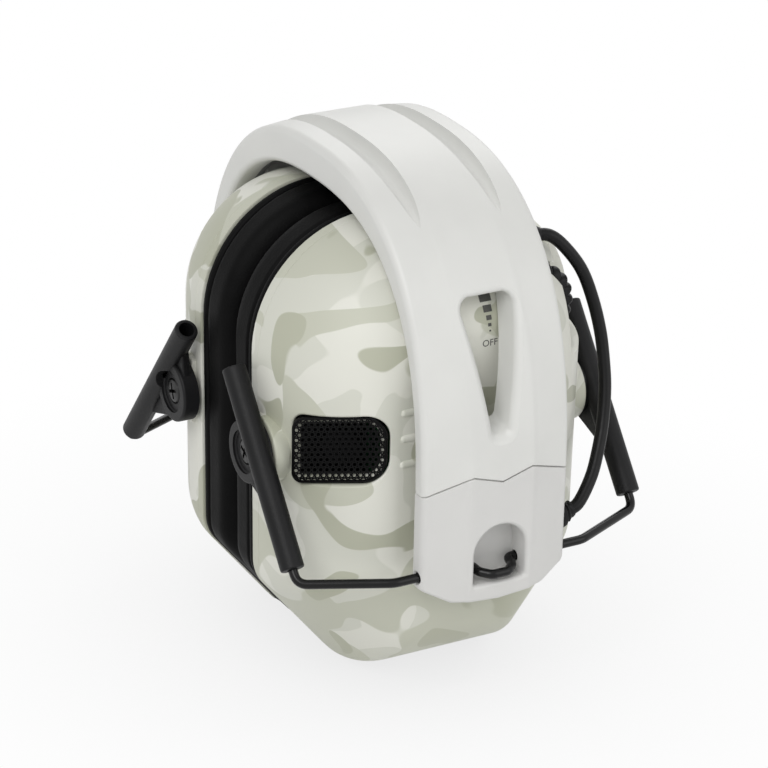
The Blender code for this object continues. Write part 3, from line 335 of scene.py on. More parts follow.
class Shader(Nodes):
    """A material under construction."""

    def __init__(self, name: str) -> None:
        """Start a material with its Principled shader.

        Args:
            name: the material's name.
        """
        self.material = bpy.data.materials.new(name)
        self.material.use_nodes = True
        super().__init__(self.material.node_tree)
        self.principled = self.tree.nodes["Principled BSDF"]
        self.place = self.node("ShaderNodeTexCoord", {}, {}).outputs["Object"]

    def stretched(self, scale: Triple, shift: Triple = (0.0, 0.0, 0.0)) -> bpy.types.NodeSocket:
        """Return object coordinates times a scale, after a shift."""
        place = {"Vector": self.place, "Location": shift, "Scale": scale}
        return self.node("ShaderNodeMapping", {}, place).outputs[0]

    def noise(
        self, scale: float, detail: float = 2.0, distortion: float = 0.0,
        place: bpy.types.NodeSocket | None = None,
    ) -> Value:
        """Return a noise field.

        Args:
            scale: features per metre.
            detail: octaves.
            distortion: how far it swirls.
            place: coordinates other than the object's own.

        Returns:
            The field, about 0.5 on average.
        """
        made = self.node("ShaderNodeTexNoise", {}, {
            "Vector": place or self.place, "Scale": scale, "Detail": detail, "Distortion": distortion})
        return Value(self, made.outputs["Fac"])

    def cells(self, scale: float) -> Value:
        """Return the distance field of a cell pattern.

        Args:
            scale: cells per metre.

        Returns:
            The field, 0 in a cell's middle.
        """
        made = self.node("ShaderNodeTexVoronoi", {"feature": "SMOOTH_F1"},
                         {"Vector": self.place, "Scale": scale, "Smoothness": 0.4})
        return Value(self, made.outputs["Distance"])

    def mix(self, share: Value, low: object, high: object) -> bpy.types.NodeSocket:
        """Return a colour between two."""
        return self.node("ShaderNodeMix", {"data_type": "RGBA"}, {"Factor": share, 6: low, 7: high}).outputs[2]

    def bump(self, height: Value, depth: float) -> None:
        """Drive the shader's normal from a height field whose unit is depth metres high."""
        made = self.node("ShaderNodeBump", {}, {"Height": height, "Distance": depth})
        self.feed(self.principled.inputs["Normal"], made.outputs[0])

    def set(self, **sockets: object) -> "Shader":
        """Set or link sockets of the Principled shader, with _ for a space in a name.

        Args:
            sockets: the value or link of each.

        Returns:
            The shader itself.
        """
        for name, value in sockets.items():
            self.feed(self.principled.inputs[name.replace("_", " ")], value)
        return self


def tone(level: Triple) -> tuple[float, float, float, float]:
    """Return a linear colour from display values between 0 and 1."""
    return (*(c / 12.92 if c < 0.04045 else ((c + 0.055) / 1.055) ** 2.4 for c in level), 1.0)


# Finishes


@dataclass(frozen=True)
class Moulded:
    """Injection moulded plastic with a fine spark texture."""

    name: str
    colour: Triple
    roughness: float
    grain: float
    grain_depth: float = 0.00002
    shade: float = 0.02
    sheen: float = 0.5

    def make(self) -> bpy.types.Material:
        """Build the grained plastic.

        Returns:
            The material.
        """
        shader = Shader(self.name)
        light = tone(self.colour)
        dark = tone(tuple(max(0.0, c - self.shade) for c in self.colour))
        drift = shader.noise(60.0, 3.0)
        fine = shader.noise(self.grain, 2.0)
        shader.set(
            Base_Color=shader.mix(drift.step(0.3, 0.7), dark, light),
            Roughness=(fine - 0.5) * 0.18 + (drift - 0.5) * 0.08 + self.roughness,
            Specular_IOR_Level=self.sheen,
        )
        shader.bump(fine, self.grain_depth)
        return shader.material


@dataclass(frozen=True)
class PrintedShell:
    """Glossy plastic with a pale camouflage print of soft lobed patches."""

    name: str = "shell_print"
    ground: Triple = (0.875, 0.875, 0.838)
    mist: Triple = (0.825, 0.828, 0.785)
    sage: Triple = (0.765, 0.77, 0.71)
    moss: Triple = (0.71, 0.716, 0.645)
    edge: float = 0.007

    def patch(self, shader: Shader, share: float, shift: Triple, scale: float) -> Value:
        """Return a mask of soft lobed patches.

        Args:
            shader: the material.
            share: threshold of the field.
            shift: offset of the field in metres.
            scale: patches per metre.

        Returns:
            The mask, 1 inside a patch.
        """
        place = shader.stretched((1.0, 0.8, 1.0), shift)
        field_ = shader.noise(scale, 0.9, 0.9, place)
        return field_.step(share - self.edge, share + self.edge)

    def make(self) -> bpy.types.Material:
        """Build the printed plastic.

        Returns:
            The material.
        """
        shader = Shader(self.name)
        colour = shader.mix(self.patch(shader, 0.525, (0.3, 0.1, 0.7), 46.0), tone(self.ground), tone(self.mist))
        colour = shader.mix(self.patch(shader, 0.53, (1.9, 0.7, 0.4), 42.0), colour, tone(self.sage))
        colour = shader.mix(self.patch(shader, 0.605, (2.6, 1.6, 1.2), 44.0), colour, tone(self.moss))
        fine = shader.noise(2200.0, 2.0)
        drift = shader.noise(45.0, 2.0)
        shader.set(Base_Color=colour, Roughness=(drift - 0.5) * 0.1 + 0.46,
                   Specular_IOR_Level=0.4)
        shader.bump(fine, 0.000006)
        return shader.material


@dataclass(frozen=True)
class Leatherette:
    """Smooth black leatherette with a fine pore grain."""

    name: str = "leatherette"
    colour: Triple = (0.018, 0.018, 0.019)
    # Painted sheen: the lighter tone laid on the raised creases.
    crease_sheen: Triple = (0.035, 0.035, 0.036)
    roughness: float = 0.55

    def make(self) -> bpy.types.Material:
        """Build the leatherette.

        Returns:
            The material.
        """
        shader = Shader(self.name)
        pores = shader.cells(1500.0)
        creases = shader.noise(160.0, 4.0)
        # Painted sheen: the leatherette is painted lighter where the crease field rises, the same field that raises its
        # bump.
        shader.set(
            Base_Color=shader.mix(creases.step(0.35, 0.7), tone(self.colour), tone(self.crease_sheen)),
            Roughness=(creases - 0.5) * 0.2 + self.roughness,
            Specular_IOR_Level=0.07,
        )
        shader.bump(pores * 0.6 + creases * 0.7, 0.00006)
        return shader.material


@dataclass(frozen=True)
class Foam:
    """Dark open-cell foam."""

    name: str = "ear_foam"

    def make(self) -> bpy.types.Material:
        """Build the foam.

        Returns:
            The material.
        """
        shader = Shader(self.name)
        pores = shader.cells(900.0)
        # Painted shade: each pore's middle, which the bump sinks, is painted darker than its rim.
        shader.set(
            Base_Color=shader.mix(pores.step(0.15, 0.6), tone((0.13, 0.13, 0.14)), tone((0.3, 0.3, 0.31))),
            Roughness=0.95,
        )
        shader.bump(pores, 0.0005)
        return shader.material


@dataclass(frozen=True)
class Metal:
    """Plated or coated metal with fine drawing marks."""

    name: str
    colour: Triple
    roughness: float
    metallic: float = 1.0
    marks: Triple = (300.0, 300.0, 4000.0)
    sheen: float = 0.5

    def make(self) -> bpy.types.Material:
        """Build the metal.

        Returns:
            The material.
        """
        shader = Shader(self.name)
        drawn = shader.noise(1.0, 2.0, 0.0, shader.stretched(self.marks))
        spots = shader.noise(240.0, 3.0)
        low = tone(tuple(c * 0.86 for c in self.colour))
        shader.set(
            Base_Color=shader.mix(spots.step(0.3, 0.7), low, tone(self.colour)),
            Metallic=self.metallic,
            Roughness=(drawn - 0.5) * 0.2 + self.roughness,
            Specular_IOR_Level=self.sheen,
        )
        shader.bump(drawn, 0.000008)
        return shader.material


@dataclass(frozen=True)
class CircuitBoard:
    """Green solder mask over a maze of traces."""

    name: str = "solder_mask"

    def make(self) -> bpy.types.Material:
        """Build the solder mask.

        Returns:
            The material.
        """
        shader = Shader(self.name)
        traces = shader.noise(420.0, 0.0, 0.0, shader.stretched((1.0, 1.0, 0.3)))
        mask = traces.step(0.5, 0.52)
        shader.set(
            Base_Color=shader.mix(mask, tone((0.08, 0.33, 0.16)), tone((0.13, 0.45, 0.24))),
            Roughness=mask * 0.1 + 0.35,
        )
        shader.bump(mask, 0.00003)
        return shader.material


FINISHES = {
    "band": Moulded("band_white", (0.858, 0.859, 0.845), 0.42, 2600.0, 0.000008, 0.012).make(),
    "band_end": Moulded("band_end_white", (0.832, 0.83, 0.82), 0.42, 2600.0, 0.000008, 0.012).make(),
    "liner": Moulded("liner_grey", (0.72, 0.72, 0.74), 0.22, 110.0, 0.0012, 0.03).make(),
    "shell": PrintedShell().make(),
    "black_plastic": Moulded("spark_black", (0.09, 0.09, 0.094), 0.48, 2400.0, 0.00005, 0.03, 0.2).make(),
    "gloss_black": Moulded("gloss_black", (0.03, 0.03, 0.032), 0.3, 1800.0, 0.00001, 0.015, 0.1).make(),
    "mark": Moulded("mark_ink", (0.31, 0.31, 0.3), 0.5, 1500.0).make(),
    "wire": Metal("coated_wire", (0.04, 0.04, 0.043), 0.24, 0.0, (400.0, 400.0, 400.0), 0.25).make(),
    "screw": Metal("blackened_screw", (0.2, 0.2, 0.2), 0.36, 0.8).make(),
    "metal": Metal("plated_metal", (0.78, 0.78, 0.79), 0.3).make(),
    "cell": Metal("cell_sleeve", (0.42, 0.43, 0.48), 0.35, 0.4).make(),
    "cushion": Leatherette().make(),
    "foam": Foam().make(),
    "lead": Moulded("lead_sheath", (0.055, 0.055, 0.057), 0.38, 1200.0, 0.00001, 0.02, 0.2).make(),
    "board": CircuitBoard().make(),
}
SLOTS = {"gloss_black": "black_plastic", "mark": "shell"}


# Forms


def clamp(value: float, low: float = 0.0, high: float = 1.0) -> float:
    """Return a value kept between two limits."""
    return min(high, max(low, value))


def run_lengths(points: Sequence[Vector]) -> list[float]:
    """Return the length of a polyline up to each of its points.

    Args:
        points: its points, in order.

    Returns:
        One length for each point, 0 first.
    """
    runs = [0.0]
    for a, b in zip(points, points[1:]):
        runs.append(runs[-1] + (b - a).length)
    return runs


def span_x(node: str) -> Pair:
    """Return the X limits of a CAD node in millimetres."""
    low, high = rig.box(node)
    return low.x / MM, high.x / MM


def linked(name: str, data: bpy.types.ID) -> bpy.types.Object:
    """Return a new object of some data, linked to the scene.

    Args:
        name: the object's name.
        data: its mesh, curve, light or camera.

    Returns:
        The object.
    """
    made = bpy.data.objects.new(name, data)
    bpy.context.scene.collection.objects.link(made)
    return made


def blend(value: float, low: float, high: float) -> float:
    """Return a smooth step from 0 at low to 1 at high."""
    t = clamp((value - low) / (high - low))
    return t * t * (3 - 2 * t)


def rounded(corners: Sequence[Triple], step: float = 6.0, longest: float = 5.0) -> list[Pair]:
    """Return the points of a closed convex polygon with rounded corners.

    Args:
        corners: (u, v, radius) of each corner.
        step: degrees between points on a round.
        longest: longest straight run between points.

    Returns:
        The outline's points.
    """
    points: list[Vector] = []
    count = len(corners)
    for i, (u, v, radius) in enumerate(corners):
        here = Vector((u, v))
        to_prev = (Vector(corners[i - 1][:2]) - here).normalized()
        to_next = (Vector(corners[(i + 1) % count][:2]) - here).normalized()
        turn = math.pi - to_prev.angle(to_next)
        centre = here + (to_prev + to_next).normalized() * (radius / math.cos(turn / 2))
        spoke = here + to_prev * radius * math.tan(turn / 2) - centre
        end = here + to_next * radius * math.tan(turn / 2) - centre
        sign = 1 if spoke.x * end.y - spoke.y * end.x > 0 else -1
        parts = max(2, math.ceil(math.degrees(turn) / step))
        points += [centre + Matrix.Rotation(sign * turn * k / parts, 2) @ spoke for k in range(parts + 1)]
    result: list[Vector] = []
    for i, point in enumerate(points):
        following = points[(i + 1) % len(points)]
        span = (following - point).length
        if span > 1e-4:
            parts = max(1, math.ceil(span / longest))
            result += [point.lerp(following, k / parts) for k in range(parts)]
    return [(p.x, p.y) for p in result]


def inset(points: Sequence[Pair], distance: float) -> list[Pair]:
    """Move a convex closed loop inwards.

    Args:
        points: the loop.
        distance: how far each side moves.

    Returns:
        The moved loop.
    """
    count = len(points)
    middle = Vector((sum(p[0] for p in points) / count, sum(p[1] for p in points) / count))
    moved = []
    for i, point in enumerate(points):
        here = Vector(point)
        normals = []
        for side in (here - Vector(points[i - 1]), Vector(points[(i + 1) % count]) - here):
            normal = Vector((-side.y, side.x)).normalized()
            normals.append(normal if normal.dot(middle - here) > 0 else -normal)
        mean = (normals[0] + normals[1]).normalized()
        moved.append(tuple(here + mean * (distance / mean.dot(normals[0]))))
    return moved


def smooth_path(points: Sequence[Vector], parts: int) -> list[Vector]:
    """Return points along a Catmull-Rom curve.

    Args:
        points: what the curve passes through.
        parts: pieces between two of them.

    Returns:
        The curve's points.
    """
    points = [Vector(p) for p in points]
    padded = [points[0] * 2 - points[1]] + points + [points[-1] * 2 - points[-2]]
    path = []
    for a, b, c, d in zip(padded, padded[1:], padded[2:], padded[3:]):
        for k in range(parts):
            t = k / parts
            path.append(0.5 * (2 * b + (c - a) * t + (2 * a - 5 * b + 4 * c - d) * t ** 2
                               + (3 * b - a - 3 * c + d) * t ** 3))
    return path + [points[-1]]


def bent_path(points: Sequence[Vector], radii: Sequence[float]) -> list[Vector]:
    """Round each inner corner of a polyline.

    Args:
        points: its corners.
        radii: the bend of each inner corner.

    Returns:
        The rounded path.
    """
    path = [Vector(points[0])]
    for before, here, after, radius in zip(points, points[1:], points[2:], radii):
        back, ahead = (before - here).normalized(), (after - here).normalized()
        turn = math.pi - back.angle(ahead)
        reach = min(radius * math.tan(turn / 2), 0.45 * (before - here).length, 0.45 * (after - here).length)
        start, end = here + back * reach, here + ahead * reach
        for k in range(BEND_PARTS + 1):
            t = k / BEND_PARTS
            path.append(start * (1 - t) ** 2 + here * (2 * t * (1 - t)) + end * t ** 2)
    return path + [Vector(points[-1])]


class Form:
    """A shape under construction, in millimetres, made with bmesh operators."""

    def __init__(self) -> None:
        """Start an empty shape."""
        self.bm = bmesh.new()

    def row(self, points: Iterable[Sequence[float]], closed: bool = True) -> list[bmesh.types.BMVert]:
        """Start a row of vertices joined by edges.

        Args:
            points: where the vertices lie.
            closed: whether the last joins the first.

        Returns:
            The vertices.
        """
        verts = [self.bm.verts.new(p) for p in points]
        for a, b in zip(verts, verts[1:] + (verts[:1] if closed else [])):
            self.bm.edges.new((a, b))
        return verts

    def edges(self, row: list[bmesh.types.BMVert], closed: bool = True) -> list[bmesh.types.BMEdge]:
        """Return the edges along a row."""
        return [self.bm.edges.get(pair) for pair in zip(row, row[1:] + (row[:1] if closed else []))]

    def extend(self, row: list[bmesh.types.BMVert], points: Iterable[Sequence[float]]) -> list[bmesh.types.BMVert]:
        """Extrude a closed row and set the new one on given points.

        Args:
            row: the row to extrude.
            points: where the new vertices lie.

        Returns:
            The new row.
        """
        made = bmesh.ops.extrude_edge_only(self.bm, edges=self.edges(row))
        fresh = {item for item in made["geom"] if isinstance(item, bmesh.types.BMVert)}
        follow = [next(e.other_vert(v) for e in v.link_edges if e.other_vert(v) in fresh) for v in row]
        for vert, point in zip(follow, points):
            vert.co = point
        return follow

    def cap(self, row: list[bmesh.types.BMVert]) -> None:
        """Close a loop with one face."""
        bmesh.ops.contextual_create(self.bm, geom=self.edges(row))

    def ladder(self, row: list[bmesh.types.BMVert]) -> None:
        """Close a loop with rungs between its two equal halves."""
        half = len(row) // 2
        bmesh.ops.bridge_loops(self.bm, edges=self.edges(row[:half], False) + self.edges(row[half:], False))

    def loft(self, rings: Sequence[Sequence[Sequence[float]]], ends: Ends = Ends.CAPPED) -> "Form":
        """Skin equal rings of points.

        Args:
            rings: the rings, in order.
            ends: how the ends are closed.

        Returns:
            The shape itself.
        """
        first = row = self.row(rings[0])
        for ring in list(rings[1:]) + ([rings[0]] if ends is Ends.JOINED else []):
            row = self.extend(row, ring)
        for end in (first, row):
            if ends is Ends.CAPPED:
                self.cap(end)
            elif ends is Ends.LADDER:
                self.ladder(end)
        return self.merge()

    def merge(self, distance: float = 1e-4) -> "Form":
        """Merge vertices that coincide."""
        bmesh.ops.remove_doubles(self.bm, verts=self.bm.verts, dist=distance)
        return self

    def lathe(
        self, profile: Sequence[Pair], origin: Sequence[float], axis: Sequence[float], steps: int = 48
    ) -> "Form":
        """Spin a profile about an axis.

        Args:
            profile: (radius, height) points from pole to pole.
            origin: where height 0 lies.
            axis: direction of the height.
            steps: facets round the axis.

        Returns:
            The shape itself.
        """
        row = self.row([(r, 0, h) for r, h in profile], closed=False)
        bmesh.ops.spin(
            self.bm, geom=row + self.edges(row, False), cent=(0, 0, 0), axis=(0, 0, 1), dvec=(0, 0, 0),
            angle=2 * math.pi, steps=steps, use_merge=True, use_duplicate=False,
        )
        turn = Vector((0, 0, 1)).rotation_difference(Vector(axis).normalized()).to_matrix().to_4x4()
        self.merge()
        bmesh.ops.transform(self.bm, matrix=Matrix.Translation(origin) @ turn, verts=self.bm.verts)
        return self

    def tube(self, path: Sequence[Vector], radius: float | Callable[[float], float], sides: int = 16) -> "Form":
        """Sweep a circle along a path.

        Args:
            path: the centreline.
            radius: one radius, or a function of the share along the path.
            sides: points round the tube.

        Returns:
            The shape itself.
        """
        side = (path[1] - path[0]).orthogonal().normalized()
        rings = []
        for i, point in enumerate(path):
            ahead = (path[min(i + 1, len(path) - 1)] - path[max(i - 1, 0)]).normalized()
            side = (side - ahead * side.dot(ahead)).normalized()
            other = ahead.cross(side)
            size = radius(i / (len(path) - 1)) if callable(radius) else radius
            rings.append([point + (side * math.cos(2 * math.pi * k / sides)
                                   + other * math.sin(2 * math.pi * k / sides)) * size for k in range(sides)])
        return self.loft(rings)

    def box(self, place: Matrix) -> "Form":
        """Add a unit cube, placed and scaled by a matrix."""
        bmesh.ops.create_cube(self.bm, size=1.0, matrix=place)
        return self

    def soften(self, width: float, segments: int) -> "Form":
        """Bevel the sharp edges.

        Args:
            width: the bevel's width.
            segments: its facets.

        Returns:
            The shape itself.
        """
        limit = math.radians(CREASE_ANGLE)
        bmesh.ops.recalc_face_normals(self.bm, faces=self.bm.faces)
        sharp = [e for e in self.bm.edges if e.is_manifold and e.calc_face_angle() > limit]
        bmesh.ops.bevel(
            self.bm, geom=sharp, offset=width, offset_type="OFFSET", segments=segments, profile=0.5,
            affect="EDGES", clamp_overlap=True, material=-1,
        )
        return self

    def made(self, name: str, side: int = 1) -> bpy.types.Object:
        """Turn the shape into an object in metres.

        Args:
            name: the object's name.
            side: -1 mirrors it in X.

        Returns:
            The object, linked to the scene.
        """
        bmesh.ops.transform(self.bm, matrix=Matrix.Diagonal((side * MM, MM, MM, 1.0)), verts=self.bm.verts)
        bmesh.ops.recalc_face_normals(self.bm, faces=self.bm.faces)
        if self.bm.calc_volume(signed=True) < 0:
            bmesh.ops.reverse_faces(self.bm, faces=self.bm.faces)
        mesh = bpy.data.meshes.new(name)
        self.bm.to_mesh(mesh)
        self.bm.free()
        return linked(name, mesh)


def carve(target: bpy.types.Object, tools: Sequence[bpy.types.Object], cut: Cut = Cut.DIFFERENCE) -> None:
    """Apply Boolean tools to an object and remove them.

    Args:
        target: what is cut or joined.
        tools: the cutters, one after another.
        cut: the operation.
    """
    for tool in tools:
        change = target.modifiers.new("carve", "BOOLEAN")
        change.operation = cut.value
        change.solver = "EXACT"
        change.object = tool
    settle(target)
    for tool in tools:
        bpy.data.objects.remove(tool, do_unlink=True)


def settle(target: bpy.types.Object) -> None:
    """Apply an object's modifiers to its mesh.

    Args:
        target: the object.
    """
    bpy.context.view_layer.update()
    graph = bpy.context.evaluated_depsgraph_get()
    mesh = bpy.data.meshes.new_from_object(target.evaluated_get(graph))
    target.modifiers.clear()
    target.data = mesh


def tree_of(target: bpy.types.Object) -> BVHTree:
    """Return a search tree of an object's mesh, in millimetres."""
    points = [v.co / MM for v in target.data.vertices]
    return BVHTree.FromPolygons(points, [tuple(p.vertices) for p in target.data.polygons])


def tree_of_loft(rings: Sequence[Sequence[Sequence[float]]], ends: Ends = Ends.CAPPED) -> BVHTree:
    """Return a search tree of a loft on the +X side.

    Args:
        rings: the loft's rings.
        ends: how its ends are closed.

    Returns:
        The tree.
    """
    model = Form().loft(rings, ends).made("model")
    tree = tree_of(model)
    bpy.data.objects.remove(model, do_unlink=True)
    return tree


def thicken(piece: bpy.types.Object, out: Vector, depth: float) -> None:
    """Turn a sheet to face a direction and give it a thickness in millimetres behind its face.

    Args:
        piece: the sheet.
        out: the way that it faces.
        depth: its thickness.
    """
    if Vector(piece.data.polygons[0].normal).dot(out) < 0:
        piece.data.flip_normals()
    thick = piece.modifiers.new("thick", "SOLIDIFY")
    thick.thickness, thick.offset = depth * MM, -1.0
    settle(piece)


@dataclass
class Plane:
    """A place to cut from: an origin, two directions in it and one out of it."""

    origin: Vector
    along: Vector
    up: Vector
    out: Vector

    def at(self, u: float, v: float, height: float) -> Vector:
        """Return a point of the plane, raised along its outward direction."""
        return self.origin + self.along * u + self.up * v + self.out * height


def side_plane(x: float) -> Plane:
    """Return the plane at an X that faces +X, with Y along it and Z up."""
    return Plane(Vector((x, 0, 0)), Vector((0, 1, 0)), Vector((0, 0, 1)), Vector((1, 0, 0)))


def flared_cutter(
    name: str, tree: BVHTree, plane: Plane, outline: Callable[[float, float], list[Pair]],
    radius: float, depth: float, side: int,
) -> bpy.types.Object:
    """Make a cutter whose mouth is rounded where it leaves a curved surface.

    Args:
        name: the cutter's name.
        tree: the surface, on the +X side.
        plane: where the cutter stands.
        outline: its outline for an amount of growth and a height above the surface.
        radius: round of the mouth.
        depth: how deep it goes below the surface, or below the plane if negative.
        side: -1 mirrors it in X.

    Returns:
        The cutter.
    """
    levels = [(-abs(depth), 0.0), (-radius, 0.0)]
    for turn in (25, 50, 68, 80):
        angle = math.radians(turn)
        levels.append((radius * (math.sin(angle) - 1), radius * (1 - math.cos(angle))))
    levels.append((CUTTER_REACH, levels[-1][1] + 0.02))
    rings = []
    for height, grow in levels:
        ring = []
        for u, v in outline(grow, height):
            hit = tree.ray_cast(plane.at(u, v, 40.0), -plane.out)[0]
            level = (hit - plane.origin).dot(plane.out) if hit is not None else 0.0
            if height == levels[0][0] and depth < 0:
                level = 0.0
            ring.append(plane.at(u, v, level + height))
        rings.append(ring)
    return Form().loft(rings).made(name, side)


def dress(
    piece: bpy.types.Object, finish: str, body: str | None = None, replaces: Sequence[str] = (),
    angle: float = 35.0,
) -> bpy.types.Object:
    """Finish a piece: shading, material, slot, body and the nodes that it stands for.

    Args:
        piece: the piece.
        finish: a key of FINISHES.
        body: the body that it rides on, if it doesn't blend.
        replaces: the CAD nodes that it stands for.
        angle: edges sharper than this stay crisp.

    Returns:
        The piece.
    """
    piece.data.materials.clear()
    piece.data.materials.append(FINISHES[finish])
    piece.data.shade_smooth()
    piece.data.set_sharp_from_angle(angle=math.radians(angle))
    weights = piece.modifiers.new("even_normals", "WEIGHTED_NORMAL")
    weights.keep_sharp = True
    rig.slot(piece, SLOTS.get(finish, finish))
    if body is not None:
        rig.ride(piece, body)
    if replaces:
        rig.replaces(piece, *replaces)
    LOG.info("%s: %d faces", piece.name, len(piece.data.polygons))
    return piece


# The cups


@dataclass
class CupForm:
    """The domed form of a cup, as a loop of (y, z) points at each X."""

    half_width: float = 45.3
    height: float = 122.5
    top_radius: float = 33.0
    taper: float = 1.1
    low_height: float = 27.5
    low_radius: float = 12.0
    foot_half_width: float = 21.5
    foot_radius: float = 7.0
    rim_x: float = span_x("base_frame_left")[0]
    frame_end: float = span_x("base_frame_left")[1]
    split_x: float = span_x("outer_shell_left")[0]
    depth: float = 34.5
    power: float = 1.8
    face_half_width: float = 21.3
    face_half_height: float = 36.7
    foot_depth: float = 3.0
    foot_blend: Pair = (8.0, 30.0)
    wall: float = 2.4
    outline: list[Pair] = field(init=False)

    def __post_init__(self) -> None:
        """Work out the outline."""
        low = self.half_width - self.taper
        self.outline = rounded([
            (self.half_width, self.height, self.top_radius), (low, self.low_height, self.low_radius),
            (self.foot_half_width, 0, self.foot_radius), (-self.foot_half_width, 0, self.foot_radius),
            (-low, self.low_height, self.low_radius), (-self.half_width, self.height, self.top_radius)], 5.0, 4.0)
        self.middle = self.height / 2
        self.face_x = self.rim_x + self.depth
        self.face = self.fitted(self.face_half_width, self.face_half_height)

    def fitted(self, half_width: float, half_height: float) -> list[Pair]:
        """Return the outline scaled about the cup's middle to given half sizes."""
        wide, tall = half_width / self.half_width, half_height / self.middle
        return [(y * wide, self.middle + (z - self.middle) * tall) for y, z in self.outline]

    def dome(self, share: float) -> float:
        """Return how far the domed side has come in at a share of the depth."""
        return 1 - (1 - clamp(share) ** self.power) ** (1 / self.power)

    def stations(self, start: float, end: float, count: int) -> list[float]:
        """Return X values that follow the dome evenly.

        Args:
            start: the first X.
            end: the last X.
            count: how many.

        Returns:
            The X values, in order.
        """
        def angle(x: float) -> float:
            """Return the dome's angle at an X."""
            return math.asin(clamp((x - self.rim_x) / self.depth) ** (self.power / 2))
        first, last = angle(start), angle(end)
        turns = [first + (last - first) * k / (count - 1) for k in range(count)]
        inner = [self.rim_x + self.depth * math.sin(a) ** (2 / self.power) for a in turns[1:-1]]
        return [start, *inner, end]

    def loop(self, x: float, inwards: float = 0.0) -> list[Pair]:
        """Return the cup's loop at an X, moved inwards.

        Args:
            x: where along the cup.
            inwards: how far it moves.

        Returns:
            The (y, z) points.
        """
        side = self.dome((x - self.rim_x) / self.depth)
        foot = self.dome((x - self.rim_x - self.foot_depth) / (self.depth - self.foot_depth))
        points = []
        for (y, z), (face_y, face_z) in zip(self.outline, self.face):
            share = side + (foot - side) * (1 - blend(z, *self.foot_blend))
            points.append((y + (face_y - y) * share, z + (face_z - z) * share))
        return inset(points, inwards) if inwards else points

    def ring(self, x: float, inwards: float = 0.0) -> list[Triple]:
        """Return the loop at an X as points in space."""
        return [(x, y, z) for y, z in self.loop(x, inwards)]

    def side_point(self, x: float, height: float, sign: int) -> Vector:
        """Return the surface point at an X and a height, front (-1) or rear (1).

        Args:
            x: where along the cup.
            height: the Z.
            sign: -1 for front, 1 for rear.

        Returns:
            The point.
        """
        loop = self.loop(x)
        found = 0.0
        for a, b in zip(loop, loop[1:] + loop[:1]):
            low, high = sorted((a[1], b[1]))
            if high > low and low <= height <= high:
                y = a[0] + (b[0] - a[0]) * (height - a[1]) / (b[1] - a[1])
                found = y if y * sign > found * sign else found
        return Vector((x, found, height))

    def side_normal(self, x: float, height: float, sign: int) -> Vector:
        """Return the outward normal at an X and a height.

        Args:
            x: where along the cup.
            height: the Z.
            sign: -1 for front, 1 for rear.

        Returns:
            The unit normal.
        """
        along = self.side_point(x + 0.5, height, sign) - self.side_point(x - 0.5, height, sign)
        up = self.side_point(x, height + 0.5, sign) - self.side_point(x, height - 0.5, sign)
        normal = along.cross(up).normalized()
        return normal if normal.y * sign > 0 else -normal


CUP = CupForm()


def round_bar(radius: float, length: float, edge: float) -> list[Pair]:
    """Return a lathe profile of a bar whose far edge is rounded.

    Args:
        radius: the bar's radius.
        length: its length.
        edge: round of the far edge.

    Returns:
        (radius, height) points from pole to pole.
    """
    profile = [(0.0, 0.0), (radius, 0.0)]
    for k in range(BAR_PARTS + 1):
        a = math.pi / 2 * k / BAR_PARTS
        profile.append((radius - edge + edge * math.cos(a), length - edge + edge * math.sin(a)))
    return profile + [(0.0, length)]


